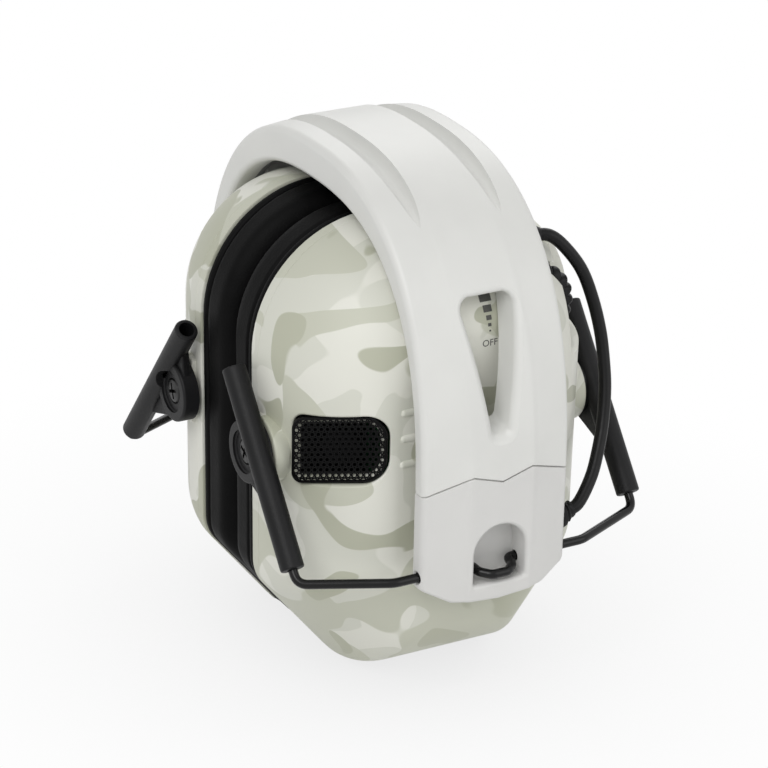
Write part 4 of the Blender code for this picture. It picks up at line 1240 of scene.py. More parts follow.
@dataclass
class Grille:
    """The perforated microphone cover on a cup's front corner."""

    width: float = 24.8
    height: float = 18.0
    x: float = 41.4
    z: float = 71.0
    sink: float = 1.0
    turn: float = 43.8
    tilt: float = 8.5
    sharp: float = 3.0
    full: float = 6.0
    gap: float = 0.3
    rim: float = 0.7
    pitch: float = 1.6
    wire: float = 0.36
    dish: float = 0.5
    mouth: float = 0.8
    recess: float = 9.0
    ledge: float = 2.0
    sheet: float = 0.22

    def plane(self) -> Plane:
        """Return where the cover stands.

        Returns:
            The plane, sunk below the shell's surface.
        """
        turn, tilt = math.radians(self.turn), math.radians(self.tilt)
        out = Vector((math.cos(turn), -math.sin(turn), 0))
        level = Vector((math.sin(turn), math.cos(turn), 0))
        along = (level * math.cos(tilt) + Vector((0, 0, math.sin(tilt)))).normalized()
        point = CUP.side_point(self.x, self.z, -1)
        return Plane(point - out * self.sink, along, Vector((0, 0, 1)), out)

    def outline(self, grow: float, _height: float = 0.0) -> list[Pair]:
        """Return the D-shaped outline, grown.

        Args:
            grow: how far it grows.
            _height: unused, as it is the same at any height.

        Returns:
            The (u, v) points.
        """
        w, h = self.width / 2 + grow, self.height / 2 + grow
        return rounded([(-w, -h, self.sharp + grow), (w, -h, self.full + grow), (w, h, self.full + grow),
                        (-w, h, self.sharp + grow)], 9.0, 3.0)

    def cutter(self, tree: BVHTree, side: int) -> bpy.types.Object:
        """Return the cutter of the shell's opening.

        Args:
            tree: the shell's surface, on the +X side.
            side: -1 mirrors it in X.

        Returns:
            The cutter.
        """
        return flared_cutter(
            "grille_cut", tree, self.plane(), lambda g, h: self.outline(self.gap + g, h), self.mouth,
            self.recess, side,
        )

    def dressed(self, name: str, side: int) -> None:
        """Build the frame and the mesh of one side.

        Args:
            name: left or right.
            side: -1 mirrors it in X.
        """
        plane = self.plane()
        for label, finish, levels in (
            ("frame", "gloss_black", ((-1.6, 0.0), (-0.3, 0.0), (-0.1, 0.2), (-0.05, 0.6), (-0.2, self.rim),
                                      (-1.6, self.rim))),
            ("ledge", "shell", ((-0.55, self.rim - 0.2), (-1.3, self.ledge), (-1.7, self.ledge),
                                (-1.5, self.rim - 0.2))),
        ):
            rings = [[plane.at(u, v, height) for u, v in self.outline(-inwards)] for height, inwards in levels]
            piece = Form().loft(rings, Ends.JOINED).made(f"grille_{label}_{name}", side)
            dress(piece, finish, f"cup_{name}")
        dress(self.mesh(name, side, plane), "gloss_black", f"cup_{name}", [f"mic_grille_{name}"])

    def mesh(self, name: str, side: int, plane: Plane) -> bpy.types.Object:
        """Build the honeycomb mesh, dished in its middle and trimmed to the frame.

        Args:
            name: the cup's side.
            side: -1 mirrors it in X.
            plane: where the cover stands.

        Returns:
            The mesh piece.
        """
        form = Form()
        step = self.pitch * math.sqrt(3) / 2
        rows = math.ceil(self.height / 2 / step)
        columns = math.ceil(self.width / 2 / self.pitch) + 1
        for j in range(-rows, rows + 1):
            for i in range(-columns, columns + 1):
                spot = Vector(((i + (0.5 if j % 2 else 0.0)) * self.pitch, j * step, 0))
                place = Matrix.Translation(spot) @ Matrix.Rotation(math.pi / 6, 4, "Z")
                bmesh.ops.create_circle(
                    form.bm, cap_ends=True, segments=6, radius=self.pitch / math.sqrt(3), matrix=place)
        form.merge(0.02)
        holes = bmesh.ops.inset_individual(form.bm, faces=form.bm.faces, thickness=self.wire, use_even_offset=True)
        kept = set(holes["faces"])
        bmesh.ops.delete(form.bm, geom=[f for f in form.bm.faces if f not in kept], context="FACES_ONLY")
        w, h = self.width / 2 - 0.5 * self.rim, self.height / 2 - 0.5 * self.rim
        sides = [Vector(way) for way in ((-1, 0, 0), (1, 0, 0), (0, -1, 0), (0, 1, 0))]
        trims = [(way * (w if way.x else h), way) for way in sides]
        for end, radius in ((1, self.full), (-1, self.sharp)):
            corner = radius - 0.5 * self.rim
            for sign in (-1, 1):
                centre = Vector((end * (w - corner), sign * (h - corner), 0))
                for a in (math.pi / 8, math.pi / 4, 3 * math.pi / 8):
                    way = Vector((end * math.cos(a), sign * math.sin(a), 0))
                    trims.append((centre + way * corner, way))
        for point, way in trims:
            bmesh.ops.bisect_plane(
                form.bm, geom=form.bm.verts[:] + form.bm.edges[:] + form.bm.faces[:], dist=1e-4,
                plane_co=point, plane_no=way, clear_outer=True)
        for vert in form.bm.verts:
            u, v = vert.co.x, vert.co.y
            border = min(w - abs(u), h - abs(v))
            vert.co = plane.at(u, v, -0.25 - self.dish * blend(border, self.ledge - 1.0, self.ledge + 1.5))
        piece = form.made(f"grille_mesh_{name}", side)
        thicken(piece, Vector((plane.out.x * side, plane.out.y, plane.out.z)), self.sheet)
        return piece


@dataclass
class Pivot:
    """A slider tube with its pivot boss, and the screw that holds a cup to it."""

    x: float = 20.9
    z: float = 65.8
    pad_radius: float = 9.2
    pad_y: float = 45.7
    pad_depth: float = 6.0
    pad_round: float = 0.6
    gap: float = 0.3
    boss_radius: float = 8.2
    boss_depth: float = 4.4
    foot: Vector = field(default_factory=lambda: Vector((46.5, 49.3, 44.0)))
    lean: float = 38.2
    length: float = 53.4
    radius: float = 3.1
    bore: float = 1.5
    mouth: float = 2.1
    mouth_depth: float = 6.0
    web_low: float = 22.0
    web_high: float = 14.0
    screw_radius: float = 3.2
    screw_depth: float = 1.4
    shank_radius: float = 1.5
    slot: float = 0.9

    def __post_init__(self) -> None:
        """Work out what follows from the sizes."""
        lean = math.radians(self.lean)
        self.way = Vector((-math.sin(lean), 0, math.cos(lean)))
        self.boss_in = self.pad_y + self.gap
        self.boss_out = self.boss_in + self.boss_depth

    def pads(self, side: int) -> list[bpy.types.Object]:
        """Return the round pads on a shell's front and rear.

        Args:
            side: -1 mirrors it in X.

        Returns:
            The two pads.
        """
        made = []
        for end in (-1, 1):
            profile = round_bar(self.pad_radius, self.pad_depth, self.pad_round)
            foot = (self.x, end * (self.pad_y - self.pad_depth), self.z)
            pad = Form().lathe(profile, foot, (0, end, 0), 64).made("pad", side)
            behind = Matrix.Translation((CUP.split_x - 15, 0, self.z)) @ Matrix.Diagonal((30, 120, 60, 1))
            carve(pad, [Form().box(behind).made("trim", side)])
            made.append(pad)
        return made

    def slider(self, name: str, label: str, side: int, end: int) -> None:
        """Build one slider.

        Args:
            name: the cup's side.
            label: front or rear.
            side: -1 mirrors it in X.
            end: -1 for front, 1 for rear.
        """
        def at(point: Vector) -> Vector:
            """Return a point on this slider's end of the cup."""
            return Vector((point.x, point.y * end, point.z))

        r, long = self.radius, self.length
        profile = [(0, 0), (r - 0.5, 0), (r - 0.15, 0.15), (r, 0.5), (r, long * 0.5), (r, long - 0.5),
                   (r - 0.15, long - 0.15), (r - 0.5, long), (0, long)]
        piece = Form().lathe(profile, at(self.foot), at(self.way), 40).made(f"slider_{label}_{name}_tube", side)
        boss = round_bar(self.boss_radius, self.boss_depth, 0.7)
        disc = Form().lathe(boss, (self.x, end * self.boss_in, self.z), (0, end, 0), 56).made("disc", side)
        carve(piece, [self.web(at, side), disc], Cut.UNION)
        top = at(self.foot + self.way * long)
        tools = [
            Form().lathe([(0, 0), (self.bore, 0), (self.bore, long + 4), (0, long + 4)],
                         at(self.foot - self.way * 2), at(self.way), 20).made("bore", side),
            Form().lathe([(0, 0), (self.mouth, 0), (self.mouth, self.mouth_depth + 2), (0, self.mouth_depth + 2)],
                         top - at(self.way) * self.mouth_depth, at(self.way), 24).made("mouth", side),
        ]
        seat = self.boss_depth - self.screw_depth - self.gap
        step = [(0, -2), (self.shank_radius + self.gap, -2), (self.shank_radius + self.gap, seat),
                (self.screw_radius + self.gap, seat), (self.screw_radius + self.gap, self.boss_depth - 0.9),
                (5.4, self.boss_depth - 0.9), (5.7, self.boss_depth - 0.6), (5.7, self.boss_depth + 2),
                (0, self.boss_depth + 2)]
        tools.append(Form().lathe(step, (self.x, end * self.boss_in, self.z), (0, end, 0), 48).made("step", side))
        carve(piece, tools)
        dress(piece, "black_plastic", f"sliders_{name}", [f"slider_{label}_{name}"])

    def web(self, at: Callable[[Vector], Vector], side: int) -> bpy.types.Object:
        """Return the plate that joins tube and boss.

        Args:
            at: puts a point on the slider's end of the cup.
            side: -1 mirrors it in X.

        Returns:
            The plate.
        """
        pivot = Vector((self.x, self.foot.y, self.z)) - self.foot
        along = pivot.dot(self.way)
        across = pivot - self.way * along
        aside = across.length
        across.normalize()
        r = self.boss_radius
        corners = [(along - self.web_low, 0.4), (along - 0.8 * r, aside + 0.5 * r), (along, aside + 0.85 * r),
                   (along + 0.8 * r, aside + 0.3 * r), (along + self.web_high, 0.4)]
        rings = [[at(self.foot + self.way * a + across * c + Vector((0, y - self.foot.y, 0))) for a, c in corners]
                 for y in (self.boss_in + 1.0, self.boss_out - 1.0)]
        return Form().loft(rings).soften(0.5, 2).made("web", side)

    def screw(self, name: str, label: str, side: int, end: int) -> None:
        """Build one cross-slotted pivot screw.

        Args:
            name: left or right.
            label: front or rear.
            side: -1 mirrors it in X.
            end: -1 for front, 1 for rear.
        """
        top, r = self.boss_out - 0.9, self.screw_radius
        head = [(0, -12.0), (self.shank_radius, -12.0), (self.shank_radius, -self.screw_depth + 0.9),
                (r, -self.screw_depth + 0.9), (r, -0.1), (r - 0.25, 0.2), (r * 0.6, 0.42), (0, 0.5)]
        piece = Form().lathe(head, (self.x, end * top, self.z), (0, end, 0), 40)
        piece = piece.made(f"pivot_screw_{label}_{name}_head", side)
        tools = []
        for turn in (20, 110):
            place = (Matrix.Translation((self.x, end * (top + 0.6), self.z))
                     @ Matrix.Rotation(math.radians(turn), 4, "Y")
                     @ Matrix.Diagonal((1.35 * r, 2.4, self.slot, 1)))
            tools.append(Form().box(place).made("blade", side))
        carve(piece, tools)
        dress(piece, "screw", f"cup_{name}", [f"pivot_screw_{label}_{name}"])

    def dressed(self, name: str, side: int) -> None:
        """Build both sliders and screws of one cup.

        Args:
            name: left or right.
            side: -1 mirrors it in X.
        """
        for label, end in (("front", -1), ("rear", 1)):
            self.slider(name, label, side, end)
            self.screw(name, label, side, end)


PIVOT = Pivot()
GRILLE = Grille()


@dataclass
class Wheel:
    """The lobed volume wheel and its notch in the left shell."""

    radius: float = 11.0
    width: float = 5.0
    start: float = 33.2
    y: float = 24.8
    z: float = 98.0
    lobes: int = 20
    lobe_depth: float = 1.4
    gap: float = 0.6
    notch_depth: float = 4.8
    notch_round: float = 2.2
    margin: float = 1.6
    ledge: float = 2.4

    def notch(self, grow: float) -> bpy.types.Object:
        """Return the notch's cutter, grown by a wall and rounded in its corners.

        Args:
            grow: the wall's thickness, or 0 for the notch itself.

        Returns:
            The cutter.
        """
        low = Vector((CUP.split_x + self.ledge - grow, self.y + self.radius - self.notch_depth - grow,
                      self.z - self.radius - self.margin - grow))
        high = Vector((CUP.face_x + 20, CUP.half_width + 20, self.z + self.radius + self.margin + grow))
        place = Matrix.Translation((low + high) / 2) @ Matrix.Diagonal((*(high - low), 1.0))
        return Form().box(place).soften(self.notch_round, 4).made("notch")

    def slot(self) -> bpy.types.Object:
        """Return the cutter of the slot that the wheel turns in.

        Returns:
            The cutter.
        """
        r, wide = self.radius + self.gap, self.width + 2 * self.gap
        profile = [(0, 0), (r, 0), (r, wide), (0, wide)]
        return Form().lathe(profile, (self.start - self.gap, self.y, self.z), (1, 0, 0), 64).made("slot")

    def loop(self, inwards: float) -> list[Pair]:
        """Return the lobed outline, moved inwards.

        Args:
            inwards: how far it moves.

        Returns:
            The (y, z) points.
        """
        steps = self.lobes * 12
        points = []
        for k in range(steps):
            a = 2 * math.pi * k / steps
            r = self.radius - inwards - self.lobe_depth * (1 - abs(math.cos(math.pi * k / 12)) ** 0.7)
            points.append((self.y + r * math.cos(a), self.z + r * math.sin(a)))
        return points

    def dressed(self) -> None:
        """Build the wheel."""
        turn = self.width / 2
        levels = [(turn - turn * math.sin(a), 2.0 * (1 - math.cos(a)))
                  for a in (math.radians(d) for d in range(80, -81, -16))]
        levels = [(0.0, 5.5), (0.0, 1.9), *levels, (self.width, 1.9), (self.width, 5.5)]
        rings = [[(self.start + x, y, z) for y, z in self.loop(inwards)] for x, inwards in levels]
        wheel = Form().loft(rings).made("volume_wheel_knob")
        dress(wheel, "black_plastic", "volume_knob", ["volume_wheel"], 45.0)


WHEEL = Wheel()


@dataclass
class Gland:
    """Where a lead leaves its cup."""

    x: float = 32.0
    z: float = 115.5
    radius: float = 2.5
    tip: float = 2.0
    outside: float = 4.6
    inside: float = 3.0
    gap: float = 0.3

    def axis(self) -> tuple[Vector, Vector]:
        """Return the point on the shell and the way that the gland points.

        Returns:
            The point and the unit direction.
        """
        point = CUP.side_point(self.x, self.z, 1)
        normal = CUP.side_normal(self.x, self.z, 1)
        return point, (normal + Vector((0.2, 1.4, -0.8))).normalized()

    def cutter(self, side: int) -> bpy.types.Object:
        """Return the cutter of its hole.

        Args:
            side: -1 mirrors it in X.

        Returns:
            The cutter.
        """
        point, way = self.axis()
        r = self.radius + self.gap
        return Form().lathe([(0, -9), (r, -9), (r, 9), (0, 9)], point, way, 32).made("gland_cut", side)

    def dressed(self, name: str, side: int) -> None:
        """Build one gland with its grip rings.

        Args:
            name: left or right.
            side: -1 mirrors it in X.
        """
        point, way = self.axis()
        r, t = self.radius, self.tip
        profile = [(0, -self.inside), (r, -self.inside), (r, 1.2), (r + 0.15, 1.5), (r - 0.1, 1.9), (r - 0.3, 2.2),
                   (r - 0.05, 2.6), (r - 0.3, 3.1), (r - 0.15, 3.6), (t + 0.1, 4.1), (t, self.outside - 0.15),
                   (t - 0.2, self.outside), (0, self.outside)]
        gland = Form().lathe(profile, point, way, 32).made(f"cable_gland_{name}_boot", side)
        dress(gland, "black_plastic", f"cup_{name}", [f"cable_gland_{name}"])


GLAND = Gland()


@dataclass
class Cup:
    """One cup: its printed shell and frame, cushion, foam, grille, sliders, screws and gland."""

    name: str
    side: int
    ribs: int = 3
    rib_pitch: float = 7.0
    rib_y: float = 17.6
    rib_half: float = 2.2
    rib_radius: float = 1.15
    rib_sink: float = 0.55
    rib_z: float = 74.7
    frame_wall: float = 2.6
    bead: float = 2.4
    ear_half_width: float = 19.5
    ear_half_height: float = 31.0
    foam_margin: float = 8.0
    speaker_radius: float = 14.8
    speaker_z: float = 63.0

    def shell(self) -> None:
        """Build the outer shell."""
        edge = [(-0.22, 0.09), (-0.17, 0.03), (-0.1, 0.0)]
        rings = [CUP.ring(CUP.split_x + x, inwards) for x, inwards in edge]
        rings += [CUP.ring(x) for x in CUP.stations(CUP.split_x + 1.2, CUP.face_x, 34)]
        for share in (0.75, 0.4):
            rings.append([(CUP.face_x, y * share, CUP.middle + (z - CUP.middle) * share) for y, z in CUP.face])
        shell = Form().loft(rings).made(f"shell_{self.name}", self.side)
        form_tree = tree_of_loft(rings)
        carve(shell, PIVOT.pads(self.side), Cut.UNION)
        carve(shell, [self.rib(k) for k in range(self.ribs)], Cut.UNION)
        stations = CUP.stations(CUP.split_x, CUP.face_x - CUP.wall, 14)
        inner = [CUP.ring(x, CUP.wall) for x in stations]
        inner = [[(CUP.split_x - 3, y, z) for _, y, z in inner[0]]] + inner
        cavity = Form().loft(inner).made("cavity", self.side)
        tools = []
        if self.side > 0:
            carve(cavity, [WHEEL.notch(CUP.wall)])
            tools.append(WHEEL.notch(0.0))
        tools.append(cavity)
        if self.side > 0:
            tools.append(WHEEL.slot())
        tools += [GRILLE.cutter(form_tree, self.side), GLAND.cutter(self.side)]
        for tool in tools:
            carve(shell, [tool])
        dress(shell, "shell", f"cup_{self.name}", [f"outer_shell_{self.name}"], 40.0)

    def rib(self, index: int) -> bpy.types.Object:
        """Return one pill-shaped rib of the outer face.

        Args:
            index: which one, from the lowest.

        Returns:
            The rib.
        """
        height = self.rib_z + (index - (self.ribs - 1) / 2) * self.rib_pitch
        r, half = self.rib_radius, self.rib_half
        profile = [(0.0, -half - r)]
        for k in range(1, 6):
            a = math.pi / 2 * k / 5
            profile.append((r * math.sin(a), -half - r * math.cos(a)))
        profile += [(radius, -h) for radius, h in reversed(profile)]
        return Form().lathe(profile, (CUP.face_x - self.rib_sink, -self.rib_y, height), (0, 1, 0), 24).made(
            "rib", self.side)

    def base_frame(self) -> None:
        """Build the frame behind the parting line."""
        levels = [(CUP.rim_x, 0.5), (CUP.rim_x + 0.15, 0.12), (CUP.rim_x + 0.5, 0.0), (CUP.frame_end - 0.12, 0.0),
                  (CUP.frame_end - 0.05, 0.03), (CUP.frame_end, 0.09), (CUP.frame_end, self.frame_wall),
                  (CUP.rim_x, self.frame_wall)]
        rings = [CUP.ring(x, inwards) for x, inwards in levels]
        piece = Form().loft(rings, Ends.JOINED).made(f"rim_frame_{self.name}", self.side)
        dress(piece, "shell", f"cup_{self.name}", [f"base_frame_{self.name}"])

    def cushion(self) -> None:
        """Build the ear cushion: a bead at the rim, a full wall, a crowned face and a soft inner lip."""
        low, high = span_x("cushion_left")
        depth, bead = high - low, self.bead
        wall = [(high, 1.6), (high, 0.9)]
        for k in range(9):
            a = math.pi * (k / 8 - 0.5) * 0.96
            wall.append((high - bead / 2 - bead / 2 * math.sin(a), 0.85 - 0.75 * math.cos(a)))
        wall += [(high - bead - 0.15, 1.15), (high - bead - 0.4, 1.05)]
        start = high - bead - 0.9
        full = start - low
        for k in range(15):
            share = 1 - k / 14
            wall.append((low + full * share ** 1.15, 0.35 + 6.4 * max(0.0, 1 - share / 0.62) ** 2.6))
        rings = [[(x, y, z) for y, z in inset(CUP.outline, 0.2 + inwards)] for x, inwards in wall]
        for share, out in ((0.0, 5.8), (0.005, 4.4), (0.03, 3.0), (0.08, 1.8), (0.18, 0.8), (0.34, 0.2), (0.55, 0.0),
                           (0.78, 0.1), (1.0, 0.4)):
            loop = CUP.fitted(self.ear_half_width + out, self.ear_half_height + out)
            rings.append([(low + depth * share, y, z) for y, z in loop])
        form = Form().loft(rings, Ends.JOINED)
        self.crease(form, low, start)
        piece = form.made(f"ear_cushion_{self.name}", self.side)
        dress(piece, "cushion", f"cup_{self.name}", [f"cushion_{self.name}"], 60.0)
        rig.padded(piece, fill=0.85)

    def crease(self, form: Form, low: float, start: float) -> None:
        """Let the leatherette ripple a little where it is drawn round the foam.

        Args:
            form: the cushion.
            low: X of its face.
            start: X where its wall begins.
        """
        form.bm.normal_update()
        for vert in form.bm.verts:
            if low + 0.4 < vert.co.x < start:
                swell = noise.noise(Vector((vert.co.x * 0.05, vert.co.y * 0.09, vert.co.z * 0.09)))
                pucker = noise.noise(Vector((vert.co.x * 0.12, vert.co.y * 0.45, vert.co.z * 0.45)) + Vector((7, 3, 1)))
                vert.co += vert.normal * (0.1 * swell + 0.04 * pucker)

    def foam(self) -> None:
        """Build the foam pad round the speaker."""
        low, high = span_x("ear_foam_left")
        outer = CUP.fitted(CUP.half_width - self.foam_margin, CUP.middle - self.foam_margin)
        if self.side > 0:
            edge = WHEEL.y + WHEEL.radius - WHEEL.notch_depth - CUP.wall - 0.6
            span = WHEEL.radius + WHEEL.margin + CUP.wall + 0.6
            outer = [(min(y, edge) if abs(z - WHEEL.z) < span else y, z) for y, z in outer]
        hole = []
        for y, z in outer:
            way = Vector((y, z - self.speaker_z)).normalized() * self.speaker_radius
            hole.append((way.x, self.speaker_z + way.y))
        levels = [(high, 0.0), (low + 1.4, 0.0), (low + 0.5, 0.015), (low, 0.06), (low, 0.5), (low, 0.94),
                  (low + 0.5, 0.985), (low + 1.4, 1.0), (high, 1.0)]
        rings = [[(x, a[0] + (b[0] - a[0]) * t, a[1] + (b[1] - a[1]) * t) for a, b in zip(outer, hole)]
                 for x, t in levels]
        piece = Form().loft(rings, Ends.JOINED).made(f"foam_pad_{self.name}", self.side)
        dress(piece, "foam", f"cup_{self.name}", [f"ear_foam_{self.name}"])
        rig.padded(piece, fill=0.5)

    def dressed(self) -> None:
        """Build the whole cup."""
        self.shell()
        self.base_frame()
        self.cushion()
        self.foam()
        GRILLE.dressed(self.name, self.side)
        PIVOT.dressed(self.name, self.side)
        GLAND.dressed(self.name, self.side)


@dataclass
class VolumeMarks:
    """The printed volume wedge on the left shell, seen through the band's window."""

    y: float = 4.1
    proud: float = 0.04
    ink: float = 0.1
    bars: tuple[Triple, ...] = ((99.4, 0.5, 0.45), (100.9, 0.95, 0.8), (102.6, 1.5, 1.15), (104.7, 2.4, 1.6),
                                (107.2, 3.3, 1.9))
    word: str = "OFF"
    word_z: float = 95.4
    word_height: float = 1.75

    def dressed(self) -> None:
        """Build the bars and the word."""
        tree = tree_of(bpy.data.objects["shell_left"])
        marks = Form()
        for z, wide, tall in self.bars:
            place = Matrix.Translation((self.y, z, 0)) @ Matrix.Diagonal((wide, tall, 1, 1))
            bmesh.ops.create_grid(marks.bm, x_segments=4, y_segments=4, size=0.5, matrix=place)
        text = bpy.data.curves.new("word", "FONT")
        text.body, text.size, text.align_x = self.word, self.word_height / 0.7, "CENTER"
        holder = linked("word", text)
        bpy.context.view_layer.update()
        flat = bpy.data.meshes.new_from_object(holder.evaluated_get(bpy.context.evaluated_depsgraph_get()))
        flat.transform(Matrix.Translation((self.y, self.word_z, 0)))
        marks.bm.from_mesh(flat)
        bpy.data.objects.remove(holder, do_unlink=True)
        for vert in marks.bm.verts:
            spot = Vector((80.0, vert.co.x, vert.co.y))
            hit = tree.ray_cast(spot, Vector((-1, 0, 0)))[0]
            vert.co = Vector((hit.x + self.proud, spot.y, spot.z))
        piece = marks.made("volume_marks")
        thicken(piece, Vector((1, 0, 0)), self.ink)
        dress(piece, "mark", "cup_left")


# The band


@dataclass
class Band:
    """The head band: two bending halves, their liner and their ends."""

    half_width: float = 21.0
    arch_x: float = 61.5
    arch_base: float = 61.0
    arch_rise: float = 76.0
    power: float = 2.45
    edge_crown: float = 10.0
    edge_leg: float = 5.6
    edge_power: float = 2.6
    bulge_crown: float = 1.0
    bulge_leg: float = 3.0
    flat: float = 8.5
    edge_round: float = 2.0
    groove_half: float = 3.0
    groove_depth: float = 3.5
    groove_least: float = 0.25
    groove_full_x: float = 6.0
    groove_end_x: float = 38.5
    channel_half: float = 15.5
    channel: float = 3.4
    liner_depth: float = 1.5
    gap: float = 0.3
    fold_x: float = 59.0
    fold_z: float = 41.0
    seam_middle: float = 24.4
    seam_peak: float = 27.0
    seam_edge: float = 22.5
    foot_drop: float = 8.2
    bend_drop: float = 7.2
    corner_drop: float = 3.0
    bend_y: float = 13.2
    window_top: float = 72.0
    window_foot: float = 41.0
    window_lip: float = 5.0
    window_round: float = 2.2
    window_drop: float = 2.0
    collar_half: float = 11.5
    window_top_half: float = 8.0
    window_foot_half: float = 2.1
    recess_half: float = 7.4
    recess_drop: float = 3.2
    recess_rise: float = 12.4
    wire_radius: float = 1.2
    bend_end: float = 65.0
    bend_foot: float = 64.0

    def __post_init__(self) -> None:
        """Work out what follows from the sizes."""
        self.round_start = self.half_width - self.edge_round
        self.groove_y = self.flat + self.groove_half
        top = (self.fold_z + self.seam_peak + 5 - self.arch_base) / self.arch_rise
        self.end_angle = math.asin(top ** (self.power / 2))

    def point(self, tau: float) -> Vector:
        """Return the band's outer edge line at an arch angle.

        Args:
            tau: the angle, 0 at the +X leg and a quarter turn at the crown.

        Returns:
            The point.
        """
        c, s = math.cos(tau), max(0.0, math.sin(tau))
        x = math.copysign(self.arch_x * abs(c) ** (2 / self.power), c)
        return Vector((x, 0, self.arch_base + self.arch_rise * s ** (2 / self.power)))

    def normal(self, tau: float) -> Vector:
        """Return the outward normal of the edge line.

        Args:
            tau: the arch angle.

        Returns:
            The unit normal.
        """
        step = 1e-3
        run = self.point(min(math.pi, tau + step)) - self.point(max(0.0, tau - step))
        return Vector((run.z, 0, -run.x)).normalized()

    def angles(self, count: int) -> list[float]:
        """Return arch angles evenly spaced along the edge line, from the crown to an arm's end.

        Args:
            count: how many.

        Returns:
            The angles.
        """
        fine = 800
        many = [math.pi / 2 + (self.end_angle - math.pi / 2) * k / fine for k in range(fine + 1)]
        runs = run_lengths([self.point(a) for a in many])
        found, j = [], 0
        for k in range(count):
            goal = runs[-1] * k / (count - 1)
            while j < fine and runs[j] < goal:
                j += 1
            found.append(many[j])
        return found

    def depth(self, tau: float) -> float:
        """Return the depth of the band's edges."""
        return self.edge_leg + (self.edge_crown - self.edge_leg) * math.sin(tau) ** self.edge_power

    def height(self, y: float, tau: float, x: float) -> float:
        """Return the outer face's height above the edge line.

        Args:
            y: where across the band.
            tau: the arch angle.
            x: where along the grooves.

        Returns:
            The height.
        """
        bulge = self.bulge_leg + (self.bulge_crown - self.bulge_leg) * math.sin(tau)
        slope = clamp((self.round_start - abs(y)) / (self.round_start - self.flat))
        soft = 0.12
        if slope > 1 - soft:
            slope = 1 - soft / 2 + soft / 2 * (1 - ((1 - slope) / soft) ** 2)
        rise = bulge * slope
        over = max(0.0, abs(y) - self.round_start)
        rise -= self.edge_round - math.sqrt(max(0.0, self.edge_round ** 2 - over ** 2))
        fade = self.groove_fade(x)
        away = abs(abs(y) - self.groove_y) / self.groove_width(x)
        if away < 1 and fade > 0:
            rise -= self.groove_depth * fade ** 1.4 * (1 - away ** 4) ** 0.9
        return rise

    def groove_fade(self, x: float) -> float:
        """Return the crown grooves' share of their full width at an X."""
        share = (abs(x) - self.groove_full_x) / (self.groove_end_x - self.groove_full_x)
        return (1 - clamp(share) ** 2.6) ** 0.5

    def groove_width(self, x: float) -> float:
        """Return half of a groove's width at an X."""
        return max(self.groove_least, self.groove_half * self.groove_fade(x))

    def rows(self, x: float) -> list[float]:
        """Return the Y values of the outer face's points, with rows along the grooves' edges.

        Args:
            x: where along the grooves.

        Returns:
            The Y values, from front to rear.
        """
        width = self.groove_width(x)
        inner, outer = self.groove_y - width, self.groove_y + width
        half = [inner * k / 16 for k in range(1, 17)]
        half += [self.groove_y + width * a for a in (-0.95, -0.85, -0.65, -0.35, 0.0, 0.35, 0.65, 0.85, 0.95)]
        half += [outer + (self.round_start - outer) * k / 8 for k in range(9)]
        half += [self.round_start + self.edge_round * math.sin(math.pi / 2 * k / 6) for k in range(1, 7)]
        return [-y for y in reversed(half)] + [0.0] + half

    def profile(self, tau: float, x: float, channel: float) -> list[Pair]:
        """Return the band's closed section as (y, height) pairs.

        Args:
            tau: the arch angle.
            x: where along the grooves.
            channel: depth of the liner's channel.

        Returns:
            The pairs, outer face first.
        """
        depth = self.depth(tau)
        outer = [(y, self.height(y, tau, x)) for y in self.rows(x)]
        low, wide = -depth, self.half_width
        collar = low + channel * (1 - self.collar(tau))
        inner = [(wide, low + 1.6), (wide - 0.25, low + 0.9), (wide - 0.8, low + 0.3), (wide - 1.6, low),
                 (self.channel_half, low), (self.channel_half - 0.05, low + channel),
                 (self.collar_half, low + channel), (self.collar_half - 0.1, collar), (0.0, collar)]
        return outer + inner + [(-y, h) for y, h in reversed(inner[:-1])]

    def collar(self, tau: float) -> float:
        """Return 1 where the window's walls reach down through the channel, and 0 elsewhere."""
        rise = self.point(tau).z - self.fold_z
        return 1.0 if self.window_foot - 4 < rise < self.window_top + 4 else 0.0

    def section(self, tau: float, profile: Sequence[Pair]) -> list[Vector]:
        """Place a section on the arch."""
        base, normal = self.point(tau), self.normal(tau)
        return [Vector((base.x + normal.x * h, y, base.z + normal.z * h)) for y, h in profile]

    def seam(self, y: float) -> float:
        """Return the height of the zigzag seam between arm and band end.

        Args:
            y: where across the band.

        Returns:
            The Z.
        """
        y = abs(y)
        if y < self.flat:
            return self.fold_z + self.seam_middle + (self.seam_peak - self.seam_middle) * y / self.flat
        share = (y - self.flat) / (self.half_width - self.flat)
        return self.fold_z + self.seam_peak + (self.seam_edge - self.seam_peak) * share

    def foot(self, y: float) -> float:
        """Return the height of the band end's lower edge.

        Args:
            y: where across the band.

        Returns:
            The Z.
        """
        y = abs(y)
        if y < self.bend_y:
            return self.fold_z - self.foot_drop + (self.foot_drop - self.bend_drop) * y / self.bend_y
        share = (y - self.bend_y) / (self.half_width - self.bend_y)
        return self.fold_z - self.bend_drop + (self.bend_drop - self.corner_drop) * share

    def shrunk(self, profile: Sequence[Pair], amount: float) -> list[Pair]:
        """Return a section of a leg drawn in from its sides and faces.

        Args:
            profile: the section.
            amount: how far it is drawn in.

        Returns:
            The smaller section.
        """
        middle = -(self.edge_leg + self.edge_round) / 2
        return [(y * (1 - amount / self.half_width), h - amount * clamp(h - middle, -1.0))
                for y, h in profile]

